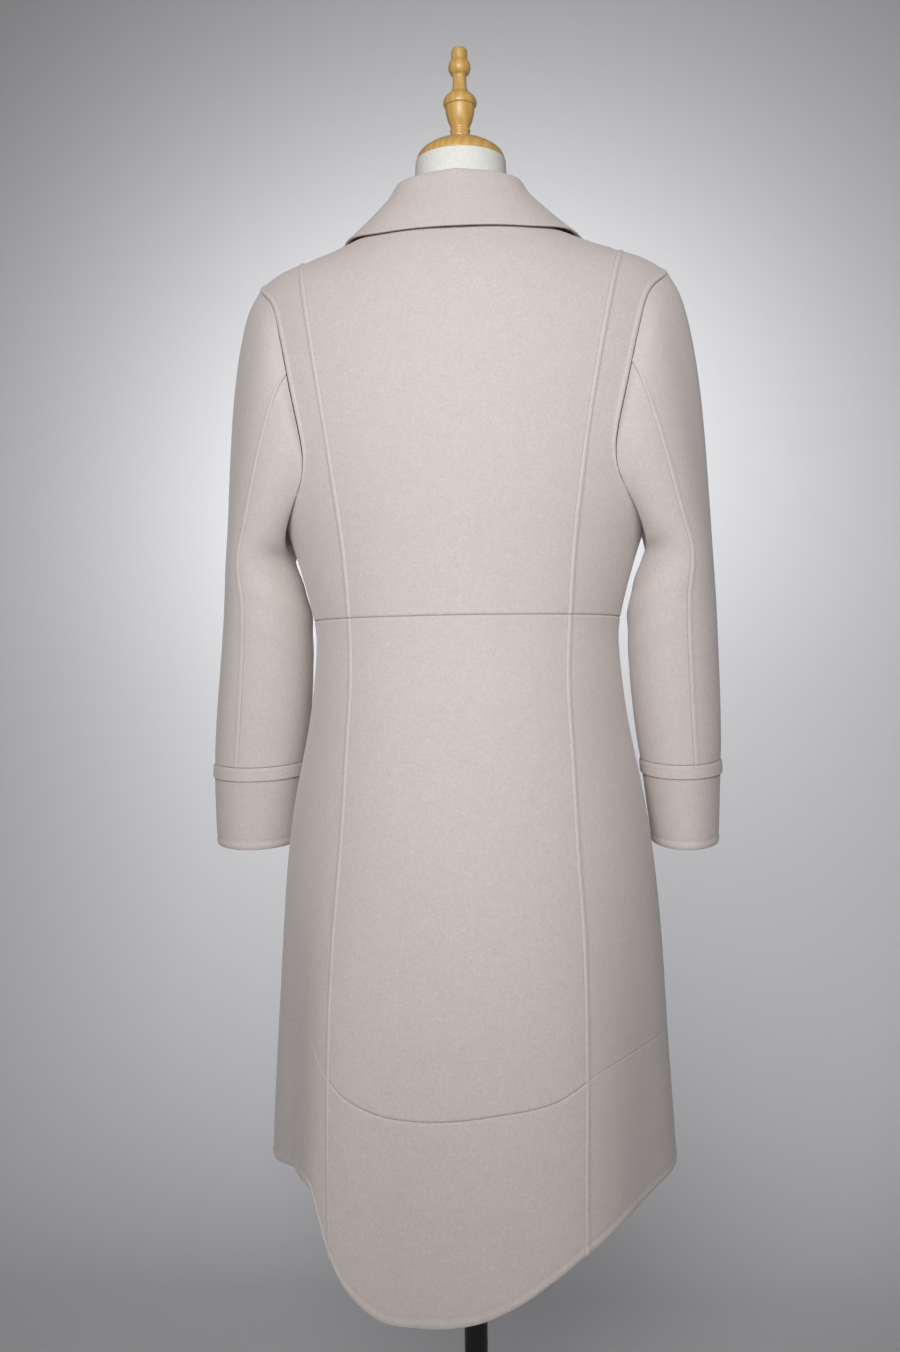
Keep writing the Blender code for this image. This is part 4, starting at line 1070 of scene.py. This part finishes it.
class Finishes:
    """The materials of the coat and its stand, on one shared grain group."""

    NOISE_DETAIL = (("Fibre Scale", 2.0), ("Mottle Scale", 3.0), ("Cloud Scale", 2.0))
    NOISE_ROUGHNESS = 0.6
    TONE_SHARES, TONE_RANGE = (0.45, 0.45, 0.10), (0.36, 0.64)
    HEIGHT_SHARES = (0.55, 0.45, 0.0)

    def __init__(self) -> None:
        """Builds the group and each finish once."""
        self.grain = self.grain_group()
        self.wool = self.plain("cashmere_nap", WoolFinish())
        self.jersey = self.plain("jersey_cover", JerseyFinish())
        self.black = self.plain("black_powder_coat", BlackFinish())
        self.wood = self.turned_wood(WoodFinish())
        wool = WoolFinish()
        self.set_socket(self.wool, "Sheen Weight", wool.sheen)
        self.set_socket(self.wool, "Sheen Roughness", wool.sheen_roughness)

    def set_socket(self, material: bpy.types.Material, name: str, value: float) -> None:
        """Sets a constant on a material's own shader."""
        material.node_tree.nodes["Principled BSDF"].inputs[name].default_value = value

    def grain_group(self) -> bpy.types.NodeTree:
        """Fibre, mottle and cloud noise as one tone from 0 to 1 and one height."""
        group = bpy.data.node_groups.new("surface_grain", "ShaderNodeTree")
        for name, _ in self.NOISE_DETAIL:
            group.interface.new_socket(name, in_out="INPUT", socket_type="NodeSocketFloat")
        for name in ("Tone", "Height"):
            group.interface.new_socket(name, in_out="OUTPUT", socket_type="NodeSocketFloat")
        given = group.nodes.new("NodeGroupInput")
        put = group.nodes.new("NodeGroupOutput")
        place = add_node(group, "ShaderNodeTexCoord", {}).outputs["Object"]
        noises = {}
        for name, detail in self.NOISE_DETAIL:
            noise = add_node(group, "ShaderNodeTexNoise", {
                "Vector": place, "Scale": given.outputs[name], "Detail": detail,
                "Roughness": self.NOISE_ROUGHNESS})
            noises[name] = noise.outputs["Fac"]

        def mixed(shares: tuple[float, float, float]) -> bpy.types.NodeSocket:
            """The three noises added up by their shares."""
            parts = [add_node(group, "ShaderNodeMath", {0: noise, 1: share}, operation="MULTIPLY").outputs[0]
                     for noise, share in zip(noises.values(), shares)]
            pair = add_node(group, "ShaderNodeMath", {0: parts[0], 1: parts[1]}, operation="ADD").outputs[0]
            return add_node(group, "ShaderNodeMath", {0: pair, 1: parts[2]}, operation="ADD").outputs[0]

        least, most = self.TONE_RANGE
        tone = add_node(group, "ShaderNodeMapRange", {"Value": mixed(self.TONE_SHARES), "From Min": least,
                                                      "From Max": most}).outputs["Result"]
        group.links.new(tone, put.inputs["Tone"])
        group.links.new(mixed(self.HEIGHT_SHARES), put.inputs["Height"])
        return group

    def plain(self, name: str, finish: Finish) -> bpy.types.Material:
        """A finish whose colour and relief come from the grain group."""
        material = bpy.data.materials.new(name)
        material.use_nodes = True
        tree = material.node_tree
        shader = tree.nodes["Principled BSDF"]
        grain = add_node(tree, "ShaderNodeGroup", {}, node_tree=self.grain, name="grain")
        for socket, scale in (("Fibre Scale", finish.fibre_scale), ("Mottle Scale", finish.mottle_scale),
                              ("Cloud Scale", finish.cloud_scale)):
            grain.inputs[socket].default_value = scale
        colour = add_node(tree, "ShaderNodeMix", {0: grain.outputs["Tone"], 6: finish.dark, 7: finish.light},
                          data_type="RGBA", name="colour")
        bump = add_node(tree, "ShaderNodeBump", {"Strength": finish.bump, "Distance": finish.bump_distance,
                                                 "Height": grain.outputs["Height"]})
        tree.links.new(colour.outputs[2], shader.inputs["Base Color"])
        tree.links.new(bump.outputs["Normal"], shader.inputs["Normal"])
        shader.inputs["Roughness"].default_value = finish.roughness
        material.diffuse_color = finish.light
        return material

    def turned_wood(self, finish: WoodFinish) -> bpy.types.Material:
        """Wood with slanting growth rings through the turned shapes."""
        material = self.plain("honey_wood", finish)
        tree = material.node_tree
        place = add_node(tree, "ShaderNodeTexCoord", {}).outputs["Object"]
        turned = add_node(tree, "ShaderNodeMapping", {
            "Vector": place, "Location": finish.ring_place, "Rotation": finish.ring_lean,
            "Scale": finish.ring_stretch})
        rings = add_node(tree, "ShaderNodeTexWave", {
            "Vector": turned.outputs["Vector"], "Scale": finish.ring_scale, "Distortion": finish.ring_wander,
            "Detail": finish.ring_detail, "Detail Scale": finish.ring_detail_scale},
            wave_type="RINGS", rings_direction="Z")
        grain_tone = tree.nodes["grain"].outputs["Tone"]
        share = add_node(tree, "ShaderNodeMath", {0: grain_tone, 1: finish.grain_share}, operation="MULTIPLY")
        tone = add_node(tree, "ShaderNodeMath", {
            0: rings.outputs["Fac"], 1: finish.ring_share, 2: share.outputs[0]}, operation="MULTIPLY_ADD")
        tree.links.new(tone.outputs[0], tree.nodes["colour"].inputs[0])
        self.set_socket(material, "Coat Weight", finish.coat)
        self.set_socket(material, "Coat Roughness", finish.coat_roughness)
        return material


@dataclass(frozen=True)
class SoftLight:
    """A square soft light that points at a spot, with its beam's spread in degrees."""

    name: str
    place: tuple[float, float, float]
    aim: tuple[float, float, float]
    size: float
    power: float
    spread: float


LIGHTS = (
    SoftLight("key_softbox", (-0.15, -2.1, 1.60), (0.0, 0.0, 1.12), size=1.1, power=8.8, spread=80.0),
    SoftLight("fill_softbox", (0.7, -1.8, 1.5), (0.0, 0.0, 1.1), size=1.0, power=2.2, spread=100.0),
    SoftLight("backdrop_light", (-0.12, 0.32, 1.25), (-0.12, 1.25, 1.35), size=0.3, power=12.0, spread=180.0))


@dataclass
class Studio:
    """Pale sweep, soft lights and the camera."""

    camera_distance: float = 1.5
    camera_turn: float = 5.0
    camera_height: float = 0.92
    aim_left: float = 0.0197
    roll: float = 0.76
    lens: float = 35.4
    sensor: float = 36.0
    floor_end: float = 0.35
    sweep_radius: float = 0.9
    sweep_half_width: float = 4.0
    sweep_front: float = -4.0
    sweep_top: float = 4.0
    sweep_columns: int = 8
    sweep_rows: int = 160
    sweep_colour: Colour = (0.60, 0.595, 0.615, 1.0)
    sweep_roughness: float = 0.9
    world_colour: Colour = (1.0, 0.995, 0.99, 1.0)
    world_strength: float = 0.11

    def camera(self) -> None:
        """A level camera at the photograph's place, rolled a little."""
        turn = math.radians(self.camera_turn)
        spot = Vector((math.sin(turn), -math.cos(turn), 0.0)) * self.camera_distance
        side = Vector((math.cos(turn), math.sin(turn), 0.0))
        ahead = (-side * self.aim_left - spot).normalized()
        right = ahead.cross(Vector((0.0, 0.0, 1.0))).normalized()
        up = right.cross(ahead)
        lean = math.radians(self.roll)
        tilted_up = up * math.cos(lean) + right * math.sin(lean)
        tilted_right = ahead.cross(tilted_up)
        spot.z = self.camera_height
        data = bpy.data.cameras.new("photo_camera")
        data.sensor_fit, data.sensor_height, data.lens = "VERTICAL", self.sensor, self.lens
        camera = bpy.data.objects.new("photo_camera", data)
        axes = Matrix((tilted_right, tilted_up, -ahead)).transposed()
        camera.matrix_world = Matrix.Translation(spot) @ axes.to_4x4()
        bpy.context.scene.collection.objects.link(camera)
        bpy.context.scene.camera = camera

    def sweep(self) -> None:
        """A floor that curves up into a wall behind the stand."""
        run = self.floor_end - self.sweep_front
        arc = self.sweep_radius * math.pi / 2
        total = run + arc + self.sweep_top - self.sweep_radius
        shape = bmesh.new()
        bmesh.ops.create_grid(shape, x_segments=self.sweep_columns, y_segments=self.sweep_rows,
                              size=GRID_HALF)
        for vert in shape.verts:
            way = (vert.co.y + GRID_HALF) * total
            turn = min(max((way - run) / self.sweep_radius, 0.0), math.pi / 2)
            y = self.sweep_front + min(way, run) + self.sweep_radius * math.sin(turn)
            z = self.sweep_radius * (1 - math.cos(turn)) + max(way - run - arc, 0.0)
            vert.co = (vert.co.x * 2 * self.sweep_half_width, y, z)
        mesh = bpy.data.meshes.new("paper_sweep")
        shape.to_mesh(mesh)
        shape.free()
        mesh.shade_smooth()
        material = bpy.data.materials.new("pale_paper")
        material.use_nodes = True
        shader = material.node_tree.nodes["Principled BSDF"]
        shader.inputs["Base Color"].default_value = self.sweep_colour
        shader.inputs["Roughness"].default_value = self.sweep_roughness
        self.clear_from_behind(material.node_tree, shader)
        mesh.materials.append(material)
        sweep = bpy.data.objects.new("paper_sweep", mesh)
        bpy.context.scene.collection.objects.link(sweep)

    @staticmethod
    def clear_from_behind(tree: bpy.types.NodeTree, shader: bpy.types.Node) -> None:
        """Lets a camera behind the sweep look through its back face."""
        facing = tree.nodes.new("ShaderNodeNewGeometry")
        clear = tree.nodes.new("ShaderNodeBsdfTransparent")
        mixed = tree.nodes.new("ShaderNodeMixShader")
        tree.links.new(facing.outputs["Backfacing"], mixed.inputs[0])
        tree.links.new(shader.outputs["BSDF"], mixed.inputs[1])
        tree.links.new(clear.outputs["BSDF"], mixed.inputs[2])
        tree.links.new(mixed.outputs["Shader"], tree.nodes["Material Output"].inputs["Surface"])

    def area(self, given: SoftLight) -> None:
        """Hangs one of the lights."""
        data = bpy.data.lights.new(given.name, "AREA")
        data.size, data.energy, data.spread = given.size, given.power, math.radians(given.spread)
        light = bpy.data.objects.new(given.name, data)
        way = Vector(given.aim) - Vector(given.place)
        facing = way.to_track_quat("-Z", "Y").to_matrix().to_4x4()
        light.matrix_world = Matrix.Translation(given.place) @ facing
        bpy.context.scene.collection.objects.link(light)

    def build(self) -> None:
        """The whole set."""
        self.camera()
        self.sweep()
        for light in LIGHTS:
            self.area(light)
        world = bpy.data.worlds.new("studio_air")
        world.use_nodes = True
        background = world.node_tree.nodes["Background"]
        background.inputs["Color"].default_value = self.world_colour
        background.inputs["Strength"].default_value = self.world_strength
        bpy.context.scene.world = world
        bpy.context.scene.view_settings.view_transform = "Standard"


def main() -> None:
    """Builds the set, the coat and the dress form."""
    logging.basicConfig(level=logging.INFO, format="%(name)s: %(message)s")
    Studio().build()
    finishes = Finishes()
    body = BodySurface()
    plan = SeamPlan(body)
    coat = CoatBody(body, plan, finishes.wool)
    coat.bodice()
    coat.skirt()
    Sleeves(body, plan, finishes.wool).build()
    Collar(body, plan, coat, finishes.wool).build()
    DressForm(body, finishes).build()


if __name__ == "__main__":
    main()
